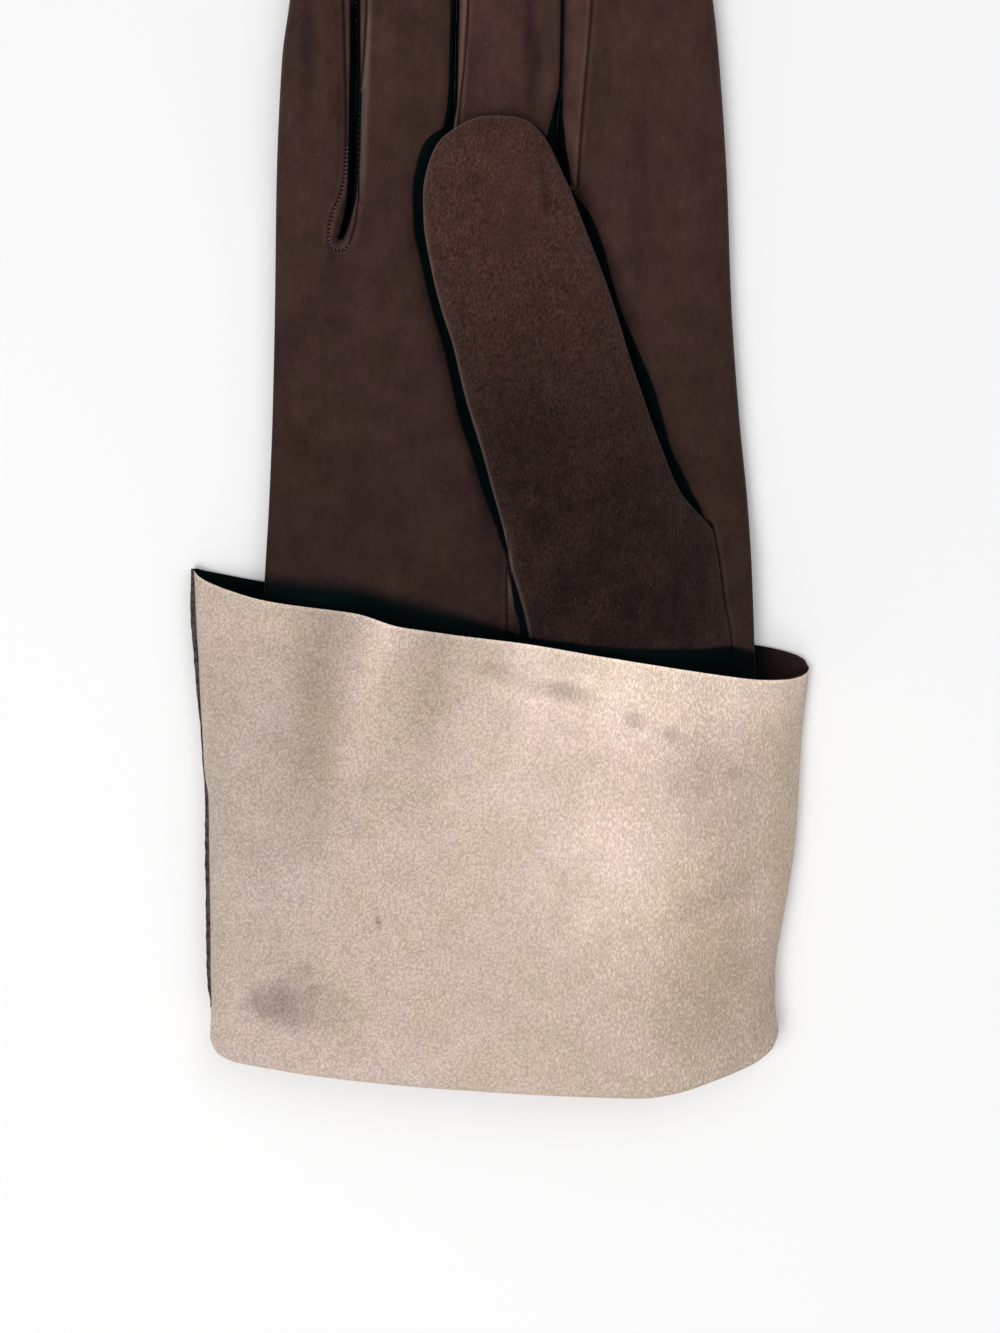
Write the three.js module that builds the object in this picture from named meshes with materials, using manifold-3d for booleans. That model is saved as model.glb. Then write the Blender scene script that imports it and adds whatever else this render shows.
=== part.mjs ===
import * as THREE from 'three';
import Module from 'manifold-3d';
import { mergeVertices } from 'three/addons/utils/BufferGeometryUtils.js';

// A right-hand suede glove lying palm up, its long cuff turned back over the palm, in millimetres
// +X points to the forefinger's side, +Y to the fingertips and +Z up out of the palm

// Driving sizes
const LEATHER = 1.0;
const SEAM_GAP = 0.3;
const SIDE_HEIGHT = 3.6;
const BACK_LIFT = 1.5;
const BACK_LIFT_FROM = -10;
const BACK_LIFT_TO = -25;
const SIDE_ROUNDING = 5;
const FINGER_CROWN = 8.7;
const SLIT_HEIGHT = 6.2;
const TIP_CORNER = Math.PI * 0.28;
const TIP_FULLNESS = 0.92;
const TIP_STOP = 1;
const CROTCH_BLEND_FROM = 36;
const CROTCH_BLEND_TO = 66;
const WRIST = -40;
const FOLD_RADIUS = 1.3;
const TURN_END = { left: -107, right: -109 };
const TURN_NARROWING = 0.975;
const TURN_GAP = 0.5;
const STRIP_LEAST = 1.6;

// Fullness of the rounded sections: 2 is an ellipse, and more is squarer
const PALM_FULLNESS = 2.8;
const CROWN_FULLNESS = { wrapped: 2.6, slit: 2.4 };
const TIP_SECTION = 2.2;
const THUMB_FULLNESS = 2.6;
const THUMB_SLOPE = { fullness: 2.2, power: 0.8 };

// Rows of numbers become objects with named columns, in rising order of the first column
function table(columns, rows) {
  return rows.map((row) => Object.fromEntries(columns.map((name, i) => [name, row[i]])));
}

// Palm outline and the height of its crown, a row for each section
const PALM = table(['y', 'left', 'right', 'crown'], [
  [-40, -47.0, 50.0, 10.4],
  [-27, -46.2, 49.5, 10.2],
  [-13, -45.4, 48.7, 10.0],
  [5, -44.6, 46.9, 10.0],
  [28, -44.0, 45.2, 9.8],
  [51, -43.6, 44.3, 9.2],
  [75, -42.4, 42.6, 9.0],
  [86, -40.9, 41.4, 9.0],
  [107, -39.0, 37.6, 9.0],
]);

// Slits between the fingers: the edge before each slit and the edge after it, palm side and back side
const SLIT_COLUMNS = ['y', 'before', 'after', 'backBefore', 'backAfter'];
const SLITS = [
  { name: 'little_ring', crotch: 39, rows: table(SLIT_COLUMNS, [
    [-40, -34.5, -30.5, -34.5, -30.5],
    [20, -32.8, -29.2, -32.8, -29.2],
    [39, -33.4, -30.8, -32.7, -31.7],
    [44, -32.9, -29.8, -31.9, -30.9],
    [50, -31.3, -27.7, -30.4, -29.4],
    [57, -29.9, -26.9, -29.5, -28.5],
    [65, -29.8, -26.8, -29.3, -28.3],
    [75, -30.2, -27.0, -29.7, -28.7],
    [86, -31.0, -27.5, -30.2, -29.2],
    [107, -31.6, -27.2, -30.6, -29.6],
  ]) },
  { name: 'ring_middle', crotch: 50, rows: table(SLIT_COLUMNS, [
    [-40, -11.0, -7.0, -11.0, -7.0],
    [39, -11.2, -8.2, -11.2, -8.2],
    [50, -10.9, -8.9, -10.5, -9.5],
    [57, -10.7, -8.7, -10.4, -9.4],
    [65, -10.2, -8.3, -10.2, -9.2],
    [75, -9.4, -6.9, -9.6, -8.6],
    [86, -9.7, -5.8, -9.7, -8.7],
    [107, -10.9, -5.2, -10.4, -9.4],
  ]) },
  { name: 'middle_index', crotch: 50, rows: table(SLIT_COLUMNS, [
    [-40, 14.0, 18.0, 14.0, 18.0],
    [39, 13.0, 16.2, 13.0, 16.2],
    [50, 13.2, 15.2, 13.4, 14.4],
    [57, 12.4, 15.4, 12.4, 13.4],
    [65, 11.9, 15.9, 11.8, 12.8],
    [75, 12.2, 16.7, 11.7, 12.7],
    [86, 12.0, 17.6, 11.2, 12.2],
    [107, 11.0, 18.6, 10.6, 11.6],
  ]) },
];

// Fingers from the little one to the forefinger: where the tip ends, how long its rounding is, which
// side the trank wraps round, and the stations across it
const FINGERS = [
  { tip: 95.6, rounding: 9.6, wrapped: 'left', across: [-1, -0.93, -0.7, -0.25, 0.4, 1] },
  { tip: 118.6, rounding: 11.6, wrapped: 'none', across: [-1, -0.5, 0, 0.5, 1] },
  { tip: 129, rounding: 12, wrapped: 'none', across: [-1, -0.5, 0, 0.5, 1] },
  { tip: 118.6, rounding: 12.6, wrapped: 'right', across: [-1, -0.45, 0.1, 0.55, 0.85, 0.965, 1] },
];

const PALM_ROWS = [31, 20, 8, -4, -14, -26, WRIST];
const WRIST_STEPS = [0.25, 0.5, 0.78, 1];
const FINGER_ROWS = [39, 44.5, 50, 57, 65, 75, 86, 97, 107, 117];
const TIP_STEPS = [0.45, 0.8];

// Thumb outline and heights, a row for each section from the thumb hole to the tip
const THUMB = table(['y', 'left', 'right', 'bottom', 'top', 'flare'], [
  [-15.5, 0.2, 41.0, 10.5, 18.2, 1],
  [-13.4, -0.3, 38.6, 10.5, 18.2, 0.8],
  [-9, -1.6, 34.9, 10.5, 18.2, 0.35],
  [-3, -3.2, 32.3, 10.5, 18.2, 0.1],
  [8, -6.4, 28.2, 10.5, 18.1, 0],
  [18.5, -9.1, 24.6, 10.5, 18.0, 0],
  [26.7, -11.7, 22.1, 10.5, 17.9, 0],
  [35, -13.6, 19.2, 10.3, 17.7, 0],
  [42.6, -14.7, 15.9, 10.1, 17.5, 0],
  [48.7, -14.8, 13.1, 9.9, 17.2, 0],
  [53.5, -14.3, 11.1, 9.9, 16.8, 0],
  [57.3, -13.0, 8.8, 10.0, 16.1, 0],
  [60.2, -10.5, 6.3, 10.5, 15.1, 0],
  [61.9, -7.6, 3.9, 11.2, 14.1, 0],
]);
const THUMB_TIP = { x: -1.9, y: 62.7, z: 12.6 };
const THUMB_CLEARANCE = 0.5;
const THUMB_CORNER = { most: 2.5, share: 0.16 };
const THUMB_MIDDLE = 0.46;
const THUMB_UNDERCUT = { out: 0.28, up: 0.42 };

// Stations across the thumb: over its top from left to right, and back underneath
const THUMB_OVER = [0, 0.03, 0.12, 0.25, 0.4, 0.55, 0.7, 0.83, 0.93, 0.985, 1];
const THUMB_UNDER = [0.92, 0.7, 0.5, 0.3, 0.08];
const THUMB_SIDE_POINTS = 2;

// The thumb hole and the thumb's arch over it: the hole's two sides, the rolled left edge and the top
const HOLE = table(['y', 'left', 'right', 'roll', 'top'], [
  [-62, 14.0, 33.0, 15.5, 9.9],
  [-59, 7.0, 39.5, 9.5, 11.2],
  [-54, 3.0, 43.6, 7.2, 13.2],
  [-47, 1.5, 45.2, 6.4, 15.7],
  [-39, 1.3, 45.2, 5.4, 17.6],
  [-30, 1.3, 43.8, 3.4, 18.3],
  [-22, 1.5, 42.8, 1.8, 18.4],
  [-17, 1.5, 41.8, 0.6, 18.3],
]);
const HOLE_TOP = -15.2;
const HOLE_CORNER = 0.8;
const CUTTER_DEPTH = 15;
const RIM_DEPTH = 0.9;
const ARCH_MIDDLE = 0.42;
const ARCH_RISE = { along: 0.45, out: 0.5, up: 0.5 };
const ARCH_SLOPE = [0.35, 0.7];

// Cuff sides from the fold up to the hem
const CUFF_SIDES = table(['y', 'left', 'right'], [
  [-118, -57.4, 55.6],
  [-114.5, -56.7, 55.5],
  [-111, -56.1, 55.3],
  [-106, -56.6, 55.1],
  [-98, -57.0, 55.9],
  [-90, -57.2, 57.1],
  [-80, -57.3, 58.2],
  [-70, -57.5, 58.8],
  [-58, -57.8, 59.4],
  [-48, -58.8, 60.5],
  [-36, -59.6, 60.9],
  [-24, -59.4, 60.9],
]);

// Fold edge across the cuff, and the height of the cuff's front just above the fold
const FOLD = table(['across', 'y', 'height'], [
  [0, -117.6, 7.8],
  [0.012, -120.2, 8.2],
  [0.035, -121.9, 8.9],
  [0.1, -123.4, 10.2],
  [0.2, -125.1, 11.4],
  [0.4, -127.3, 12.0],
  [0.6, -128.7, 12.0],
  [0.76, -129.3, 11.8],
  [0.8, -129.0, 11.6],
  [0.9, -125.2, 10.4],
  [0.965, -121.8, 9.0],
  [0.988, -119.8, 8.3],
  [1, -117.0, 7.8],
]);

// Front hem across the cuff, where it drapes over the palm and the thumb
const FRONT_HEM = table(['across', 'y', 'height'], [
  [0, -24.5, 4.4],
  [0.02, -26.0, 5.2],
  [0.06, -28.0, 6.8],
  [0.12, -29.8, 8.7],
  [0.2, -31.6, 11.0],
  [0.27, -32.9, 12.6],
  [0.34, -35.4, 13.4],
  [0.42, -36.8, 15.3],
  [0.54, -38.4, 18.4],
  [0.65, -40.6, 20.0],
  [0.76, -42.8, 19.9],
  [0.86, -44.6, 16.7],
  [0.94, -45.2, 10.8],
  [0.98, -44.8, 7.0],
  [1, -43.2, 5.0],
]);

// Back hem across the cuff, flat under the hand
const BACK_HEM = table(['across', 'y'], [
  [0, -24.5],
  [0.12, -27.4],
  [0.92, -39.8],
  [1, -43.2],
]);

// Soft folds in the cuff's front: where each starts at the hem and ends, its height and half width
const CUFF_FOLDS = table(['x', 'y', 'endX', 'endY', 'height', 'halfWidth'], [
  [-22, -34, -31, -66, 1.0, 5],
  [-33, -32, -39, -70, -0.8, 5],
  [-9, -38, -13, -72, -0.6, 6],
]);
const CUFF_SIDE_HEIGHT = { hem: 2.2, fold: 4.2 };
const CUFF_NOSE = 5.5;
const CUFF_COLUMNS = [
  0, 0.006, 0.02, 0.05, 0.1, 0.155, 0.21, 0.265, 0.32, 0.38, 0.45, 0.53, 0.61, 0.69, 0.76, 0.83, 0.9, 0.95,
  0.98, 0.994, 1, 1.006, 1.02, 1.05, 1.2, 1.4, 1.6, 1.8, 1.95, 1.98, 1.994,
];
const CUFF_ROWS = [0, 0.04, 0.13, 0.25, 0.38, 0.52, 0.66, 0.8, 0.92, 1];
const FOLD_STEPS = 4;
const TURN_STEPS = [0.4, 1];

// Brown strip of the side seam along the cuff's left edge
const SEAM_WIDTH = 1.3;
const SEAM_HEIGHT = 1.6;
const SEAM_TAPER = 0.6;

// Colours and finish
const SUEDE = { color: 0x3c2a26, roughness: 0.95, metalness: 0 };
const NAPPED_SUEDE = { color: 0x432e2a, roughness: 1, metalness: 0 };
const STRIP_SUEDE = { color: 0x4a3731, roughness: 0.95, metalness: 0 };
const CREAM_LEATHER = { color: 0xc9b7a6, roughness: 0.8, metalness: 0 };
const SEAM_SUEDE = { color: 0x35251f, roughness: 0.95, metalness: 0 };

const lerp = THREE.MathUtils.lerp;

// A smooth curve through one column of a table, with no overshoot, read at a place in its first column
function read(rows, column, place) {
  const key = Object.keys(rows[0])[0];
  const last = rows.length - 1;
  const at = THREE.MathUtils.clamp(place, rows[0][key], rows[last][key]);
  let i = 0;
  while (i < last - 1 && rows[i + 1][key] < at) i += 1;
  const rise = (j) => (rows[j + 1][column] - rows[j][column]) / (rows[j + 1][key] - rows[j][key]);
  const slope = (j) => {
    if (j === 0) return rise(0);
    if (j === last) return rise(last - 1);
    const before = rise(j - 1);
    const after = rise(j);
    return before * after > 0 ? (2 * before * after) / (before + after) : 0;
  };
  const span = rows[i + 1][key] - rows[i][key];
  const t = (at - rows[i][key]) / span;
  const ease = t * t * (3 - 2 * t);
  const bend = t * (1 - t) * span;
  return lerp(rows[i][column], rows[i + 1][column], ease) + bend * ((1 - t) * slope(i) - t * slope(i + 1));
}

// Quarter-round rise from 0 at an edge to 1 at a given distance from it
function rounded(distance, radius) {
  const short = Math.max(0, 1 - distance / radius);
  return Math.sqrt(1 - short * short);
}

// A leather sheet: points on its outer face and the cells between them
class Sheet {
  constructor() {
    this.points = [];
    this.cells = [];
  }

  point(x, y, z) {
    this.points.push(new THREE.Vector3(x, y, z));
    return this.points.length - 1;
  }

  cell(...corners) {
    this.cells.push(corners);
  }

  // Cells between two rows of points, the first row below or left of the second
  strip(first, second) {
    for (let i = 0; i + 1 < first.length; i += 1) {
      this.cell(first[i], first[i + 1], second[i + 1], second[i]);
    }
  }

  // The closed solid: outer face, inner face and a wall along every free edge
  solid(thickness) {
    const normals = this.points.map(() => new THREE.Vector3());
    const triangles = [];
    for (const corners of this.cells) {
      const p = corners.map((i) => this.points[i]);
      const far = p[corners.length - 1];
      const normal = p[2].clone().sub(p[0]).cross(far.clone().sub(p[1]));
      if (corners.length === 3) normal.copy(p[1].clone().sub(p[0]).cross(p[2].clone().sub(p[0])));
      for (const i of corners) normals[i].add(normal.clone().normalize());
      const [a, b, c, d] = corners;
      if (corners.length === 3) {
        triangles.push([a, b, c]);
      } else if (p[0].distanceTo(p[2]) <= p[1].distanceTo(p[3])) {
        triangles.push([a, b, c], [a, c, d]);
      } else {
        triangles.push([a, b, d], [b, c, d]);
      }
    }
    const count = this.points.length;
    const inner = this.points.map((p, i) => p.clone().addScaledVector(normals[i].normalize(), -thickness));
    const used = new Set(this.cells.flatMap((c) => c.map((a, i) => `${a} ${c[(i + 1) % c.length]}`)));
    const faces = triangles.flatMap(([a, b, c]) => [[a, b, c], [c + count, b + count, a + count]]);
    for (const edge of used) {
      const [a, b] = edge.split(' ').map(Number);
      if (!used.has(`${b} ${a}`)) faces.push([b, a, a + count], [b, a + count, b + count]);
    }
    return closedGeometry([...this.points, ...inner], faces);
  }
}

function closedGeometry(points, faces) {
  const geometry = new THREE.BufferGeometry().setFromPoints(points);
  geometry.setIndex(faces.flat());
  return geometry;
}

// A closed solid through rings of the same number of points, capped at both ends
function loft(rings) {
  const size = rings[0].length;
  const points = rings.flat();
  const faces = [];
  for (let r = 0; r + 1 < rings.length; r += 1) {
    for (let i = 0; i < size; i += 1) {
      const a = r * size + i;
      const b = r * size + ((i + 1) % size);
      faces.push([a, b, b + size], [a, b + size, a + size]);
    }
  }
  const end = (rings.length - 1) * size;
  for (let i = 1; i + 1 < size; i += 1) faces.push([0, i + 1, i], [end, end + i, end + i + 1]);
  return closedGeometry(points, faces);
}

// Heights of the palm panel and of the back panel
function backLift(y) {
  return BACK_LIFT * THREE.MathUtils.smoothstep(-y, -BACK_LIFT_FROM, -BACK_LIFT_TO);
}

function palmTop(x, y) {
  const left = read(PALM, 'left', y);
  const right = read(PALM, 'right', y);
  const side = SIDE_HEIGHT + backLift(y);
  const off = Math.min(1, Math.abs((2 * x - left - right) / (right - left)));
  return side + (read(PALM, 'crown', y) - side) * Math.sqrt(1 - off ** PALM_FULLNESS);
}

function backBottom(x, y, left, right) {
  const side = SIDE_HEIGHT;
  const inside = Math.max(0, Math.min(x - left, right - x));
  return backLift(y) + side * (1 - rounded(inside, SIDE_ROUNDING));
}

// The edges of a finger's palm and back panels at a row
function fingerEdges(index, y) {
  const first = index === 0;
  const last = index === FINGERS.length - 1;
  return {
    left: first ? read(PALM, 'left', y) : read(SLITS[index - 1].rows, 'after', y),
    right: last ? read(PALM, 'right', y) : read(SLITS[index].rows, 'before', y),
    backLeft: first ? read(PALM, 'left', y) : read(SLITS[index - 1].rows, 'backAfter', y),
    backRight: last ? read(PALM, 'right', y) : read(SLITS[index].rows, 'backBefore', y),
  };
}

// Height of a finger's palm panel above its side, from 0 to 1 across the finger
function fingerCrown(finger, across) {
  const wrapped = (across < 0 && finger.wrapped === 'left') || (across > 0 && finger.wrapped === 'right');
  if (wrapped) return Math.sqrt(1 - Math.abs(across) ** CROWN_FULLNESS.wrapped);
  const slit = (SLIT_HEIGHT - SIDE_HEIGHT) / (FINGER_CROWN - SIDE_HEIGHT);
  return slit + (1 - slit) * (1 - Math.abs(across) ** CROWN_FULLNESS.slit);
}

// Points of one finger's palm and back panels at a straight row
function fingerRow(finger, index, y) {
  const { left, right, backLeft, backRight } = fingerEdges(index, y);
  const asFinger = THREE.MathUtils.smoothstep(y, CROTCH_BLEND_FROM, CROTCH_BLEND_TO);
  return finger.across.map((across) => {
    const t = (across + 1) / 2;
    const x = lerp(left, right, t);
    const crown = SIDE_HEIGHT + (FINGER_CROWN - SIDE_HEIGHT) * fingerCrown(finger, across);
    const top = lerp(palmTop(x, y), crown, asFinger);
    const backX = lerp(backLeft, backRight, t);
    const outerLeft = finger.wrapped === 'left' ? left : -Infinity;
    const outerRight = finger.wrapped === 'right' ? right : Infinity;
    return {
      palm: new THREE.Vector3(x, y, top),
      back: new THREE.Vector3(backX, y, backBottom(backX, y, outerLeft, outerRight)),
    };
  });
}

// Points of a fingertip at a step of its rounding, from 0 at its last straight row to 1 at its end
function tipRow(finger, index, step) {
  const base = finger.tip - finger.rounding;
  const row = fingerRow(finger, index, base);
  const outline = (side, across, angle) => {
    const half = (row[row.length - 1][side].x - row[0][side].x) / 2;
    const middle = (row[row.length - 1][side].x + row[0][side].x) / 2;
    const out = Math.sign(across) * Math.cos(angle) ** TIP_FULLNESS;
    return { x: middle + half * out, y: base + finger.rounding * Math.sin(angle) ** TIP_FULLNESS };
  };
  const height = Math.sqrt(1 - step ** TIP_SECTION);
  const place = (side, across, start) => {
    const endAngle = Math.PI / 2 - Math.abs(across) * (Math.PI / 2 - TIP_CORNER);
    const end = outline(side, across, endAngle);
    const edgeAngle = step * TIP_CORNER;
    let x = lerp(start.x, end.x, step);
    let y = lerp(base, end.y, step);
    for (const edge of [-1, 1]) {
      const weight = (1 + edge * across) / 2;
      const first = outline(side, edge, 0);
      const last = outline(side, edge, TIP_CORNER);
      const curve = outline(side, edge, edgeAngle);
      x += weight * (curve.x - lerp(first.x, last.x, step));
      y += weight * (curve.y - lerp(first.y, last.y, step));
    }
    return new THREE.Vector3(x, y, lerp(SIDE_HEIGHT, start.z, height));
  };
  return finger.across.map((across, i) => {
    const palm = place('palm', across, row[i].palm);
    const back = place('back', across, row[i].back);
    const apart = (palm.x - back.x) / 2;
    palm.x -= apart * step ** 2;
    back.x += apart * step ** 2;
    return { palm, back };
  });
}

// Every row of one finger from the lowest crotch to its tip
function fingerRows(finger, index) {
  const straight = FINGER_ROWS.filter((y) => y < finger.tip - finger.rounding - TIP_STOP);
  const rows = straight.map((y) => fingerRow(finger, index, y));
  rows.push(fingerRow(finger, index, finger.tip - finger.rounding));
  for (const step of TIP_STEPS) rows.push(tipRow(finger, index, step));
  rows.push(tipRow(finger, index, 1));
  return rows;
}

// The cuff's front and back at a place round it: 0 to 1 across the front, 1 to 2 back across the back
function cuffPoint(around, down, inset = 0) {
  const flat = (place) => {
    const round = THREE.MathUtils.euclideanModulo(place, 2);
    const front = round <= 1;
    const across = front ? round : 2 - round;
    const fold = read(FOLD, 'y', across) + FOLD_RADIUS;
    const hem = read(front ? FRONT_HEM : BACK_HEM, 'y', across);
    const y = lerp(hem, fold, down);
    const edgeY = (edge) => lerp(read(FRONT_HEM, 'y', edge), read(FOLD, 'y', edge) + FOLD_RADIUS, down);
    const left = read(CUFF_SIDES, 'left', edgeY(0));
    const right = read(CUFF_SIDES, 'right', edgeY(1));
    const x = lerp(left, right, across);
    const side = lerp(CUFF_SIDE_HEIGHT.hem, CUFF_SIDE_HEIGHT.fold, down);
    const nose = rounded(Math.min(across, 1 - across) * (right - left), CUFF_NOSE);
    if (!front) return new THREE.Vector3(x, y, side * (1 - nose));
    const drape = lerp(read(FRONT_HEM, 'height', across), read(FOLD, 'height', across), down);
    return new THREE.Vector3(x, y, side + (drape + cuffFolds(x, y) - side) * nose);
  };
  const point = flat(around);
  if (inset === 0) return point;
  const near = 0.002;
  const along = flat(around + near).sub(flat(around - near));
  const outward = new THREE.Vector3(-along.z, 0, along.x).normalize();
  return point.addScaledVector(outward, -inset);
}

// The leather inside the fold, from the fold at 0 to the end of the turned-in stretch at 1
function turnedIn(around, share, inset) {
  const p = cuffPoint(around, 1, inset);
  const end = lerp(TURN_END.left, TURN_END.right, around <= 1 ? around : 2 - around);
  return new THREE.Vector3(p.x * lerp(1, TURN_NARROWING, share), lerp(p.y, end, share), p.z);
}

// Height of the soft folds in the cuff's front
function cuffFolds(x, y) {
  let sum = 0;
  for (const fold of CUFF_FOLDS) {
    const t = THREE.MathUtils.clamp((y - fold.y) / (fold.endY - fold.y), 0, 1);
    const off = (x - lerp(fold.x, fold.endX, t)) / fold.halfWidth;
    sum += fold.height * Math.exp(-off * off) * (1 - t * t);
  }
  return sum;
}

// The trank: palm and back as a flattened tube open at the wrist, and four fingers with slit sides
function trank() {
  const sheet = new Sheet();
  const add = (p) => sheet.point(p.x, p.y, p.z);
  const fingers = FINGERS.map((finger, index) => fingerRows(finger, index));

  // Palm rows hold every finger's columns, with one cell across each slit
  const loops = [];
  const addLoop = (palm, back) => {
    const palmIds = palm.map(add);
    const backIds = back.map((p, i) => (i === 0 || i === back.length - 1 ? palmIds[i] : add(p)));
    loops.push({ palmIds, backIds });
  };
  const lowest = fingers.flatMap((rows) => rows[0]);
  addLoop(lowest.map((p) => p.palm), lowest.map((p) => p.back));
  for (const y of PALM_ROWS) {
    const row = FINGERS.flatMap((finger, index) => fingerRow(finger, index, y));
    const left = read(PALM, 'left', y);
    const right = read(PALM, 'right', y);
    const back = row.map(({ palm }) => new THREE.Vector3(palm.x, y, backBottom(palm.x, y, left, right)));
    addLoop(row.map((p) => p.palm), back);
  }
  const wrist = loops[loops.length - 1];
  const bounds = { left: read(PALM, 'left', WRIST), right: read(PALM, 'right', WRIST) };
  for (const step of WRIST_STEPS) {
    const towards = (id, front) => {
      const from = sheet.points[id];
      const across = (from.x - bounds.left) / (bounds.right - bounds.left);
      const end = turnedIn(front ? across : 2 - across, 1, FOLD_RADIUS * 2 - LEATHER);
      end.y += TURN_GAP;
      return from.clone().lerp(end, step);
    };
    addLoop(wrist.palmIds.map((id) => towards(id, true)), wrist.backIds.map((id) => towards(id, false)));
  }
  for (let r = 0; r + 1 < loops.length; r += 1) {
    sheet.strip(loops[r + 1].palmIds, loops[r].palmIds);
    sheet.strip(loops[r].backIds, loops[r + 1].backIds);
  }

  // Finger rows above the lowest crotch, with the slits left open above their own crotch
  const ids = [];
  let first = 0;
  FINGERS.forEach((finger, index) => {
    const size = finger.across.length;
    const rows = fingers[index].map((row, r) => {
      if (r === 0) {
        return {
          palmIds: loops[0].palmIds.slice(first, first + size),
          backIds: loops[0].backIds.slice(first, first + size),
        };
      }
      const palmIds = row.map((p) => add(p.palm));
      const closed = r === fingers[index].length - 1;
      const backIds = row.map((p, i) => {
        const atLeft = i === 0 && finger.wrapped === 'left';
        const atRight = i === size - 1 && finger.wrapped === 'right';
        return closed || atLeft || atRight ? palmIds[i] : add(p.back);
      });
      return { palmIds, backIds };
    });
    for (let r = 0; r + 1 < rows.length; r += 1) {
      sheet.strip(rows[r].palmIds, rows[r + 1].palmIds);
      sheet.strip(rows[r + 1].backIds, rows[r].backIds);
    }
    ids.push(rows);
    first += size;
  });
  SLITS.forEach((slit, index) => {
    for (let r = 0; FINGER_ROWS[r] < slit.crotch; r += 1) {
      const [before, after] = [ids[index], ids[index + 1]];
      const palmEnd = (rows, row) => rows[row].palmIds[rows[row].palmIds.length - 1];
      const backEnd = (rows, row) => rows[row].backIds[rows[row].backIds.length - 1];
      sheet.cell(palmEnd(before, r), after[r].palmIds[0], after[r + 1].palmIds[0], palmEnd(before, r + 1));
      sheet.cell(backEnd(before, r + 1), after[r + 1].backIds[0], after[r].backIds[0], backEnd(before, r));
    }
  });
  return { geometry: sheet.solid(LEATHER), fingers };
}

// A strip between two fingers: down one side, round the crotch and up the other side
function fourchette(slit, index, fingers) {
  const stations = [];
  const start = FINGER_ROWS.indexOf(slit.crotch);
  const legRow = (rows, r, edge) => ({ ...rows[r][edge === 'before' ? rows[r].length - 1 : 0] });
  const before = fingers[index];
  const after = fingers[index + 1];
  for (let r = before.length - 2; r > start; r -= 1) {
    stations.push({ ...legRow(before, r, 'before'), into: [-1, 0] });
  }
  stations.push({ ...legRow(before, start, 'before'), into: [-1, -1] });
  stations.push({ ...legRow(after, start, 'after'), into: [1, -1] });
  for (let r = start + 1; r < after.length - 1; r += 1) {
    stations.push({ ...legRow(after, r, 'after'), into: [1, 0] });
  }
  const clear = LEATHER + SEAM_GAP;
  const open = stations.filter(({ palm, back }) => palm.z - back.z > 2 * clear + STRIP_LEAST);
  return loft(open.map(({ palm, back, into }) => {
    const height = palm.z - back.z;
    const onWall = (z, deep) => {
      const p = back.clone().lerp(palm, (z - back.z) / height);
      return new THREE.Vector3(p.x + into[0] * deep, p.y + into[1] * deep, z);
    };
    const low = back.z + clear;
    const high = palm.z - clear;
    return [onWall(low, 0), onWall(high, 0), onWall(high, LEATHER), onWall(low, LEATHER)];
  }));
}

// Rise of the thumb's top across it, from 0 at its sides to 1: the right side may slope down longer
function thumbRise(across, slope) {
  const off = Math.abs(2 * across - 1);
  const round = Math.sqrt(1 - off ** THUMB_FULLNESS);
  const sloped = (1 - off ** THUMB_SLOPE.fullness) ** THUMB_SLOPE.power;
  return across < 0.5 ? round : lerp(round, sloped, slope);
}

// Section of the thumb: up the left side, over the top, down the right side and back underneath
function thumbSection({ y, left, right, bottom, top, flare }) {
  const rest = (x) => Math.min(bottom, palmTop(x, y) + THUMB_CLEARANCE);
  const middle = lerp(bottom, top, THUMB_MIDDLE);
  const rightMiddle = lerp(middle, rest(right) + THUMB_CLEARANCE, flare);
  const over = THUMB_OVER.map((across) => {
    const floor = across < 0.5 ? middle : rightMiddle;
    return { x: lerp(left, right, across), z: floor + (top - floor) * thumbRise(across, flare) };
  });
  const corner = Math.min(THUMB_CORNER.most, (right - left) * THUMB_CORNER.share);
  const rightCorner = lerp(corner, THUMB_CLEARANCE, flare);
  const under = THUMB_UNDER.map((t) => lerp(left + corner, right - rightCorner, t));
  return [
    { x: left + corner, z: bottom },
    { x: left + corner * THUMB_UNDERCUT.out, z: lerp(bottom, middle, THUMB_UNDERCUT.up) },
    ...over,
    { x: right - rightCorner * THUMB_UNDERCUT.out, z: lerp(rest(right), rightMiddle, THUMB_UNDERCUT.up) },
    { x: right - rightCorner, z: rest(right) },
    ...under.map((x) => ({ x, z: rest(x) })),
  ];
}

// The thumb's arch over its hole, from the left seam over the rolled edge and the top to the right seam
function archSection(row, y) {
  const rimLeft = row.left + SEAM_GAP;
  const rimRight = row.right - SEAM_GAP;
  const low = palmTop(rimLeft, y) - LEATHER * RIM_DEPTH;
  const flush = palmTop(rimRight, y);
  const middle = lerp(palmTop(row.roll, y), row.top, ARCH_MIDDLE);
  const over = THUMB_OVER.map((t) => {
    const x = lerp(row.roll, rimRight, t);
    const floor = t < 0.5 ? middle : flush;
    return { x, z: floor + (row.top - floor) * thumbRise(t, 1) };
  });
  over.pop();
  const last = over[over.length - 1];
  return [
    { x: rimLeft, z: low },
    { x: lerp(rimLeft, row.roll, ARCH_RISE.along) + ARCH_RISE.out, z: lerp(low, middle, ARCH_RISE.up) },
    ...over,
    ...ARCH_SLOPE.map((t) => ({ x: lerp(last.x, rimRight, t), z: lerp(last.z, flush, t) })),
    { x: rimRight, z: flush },
  ];
}

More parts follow.
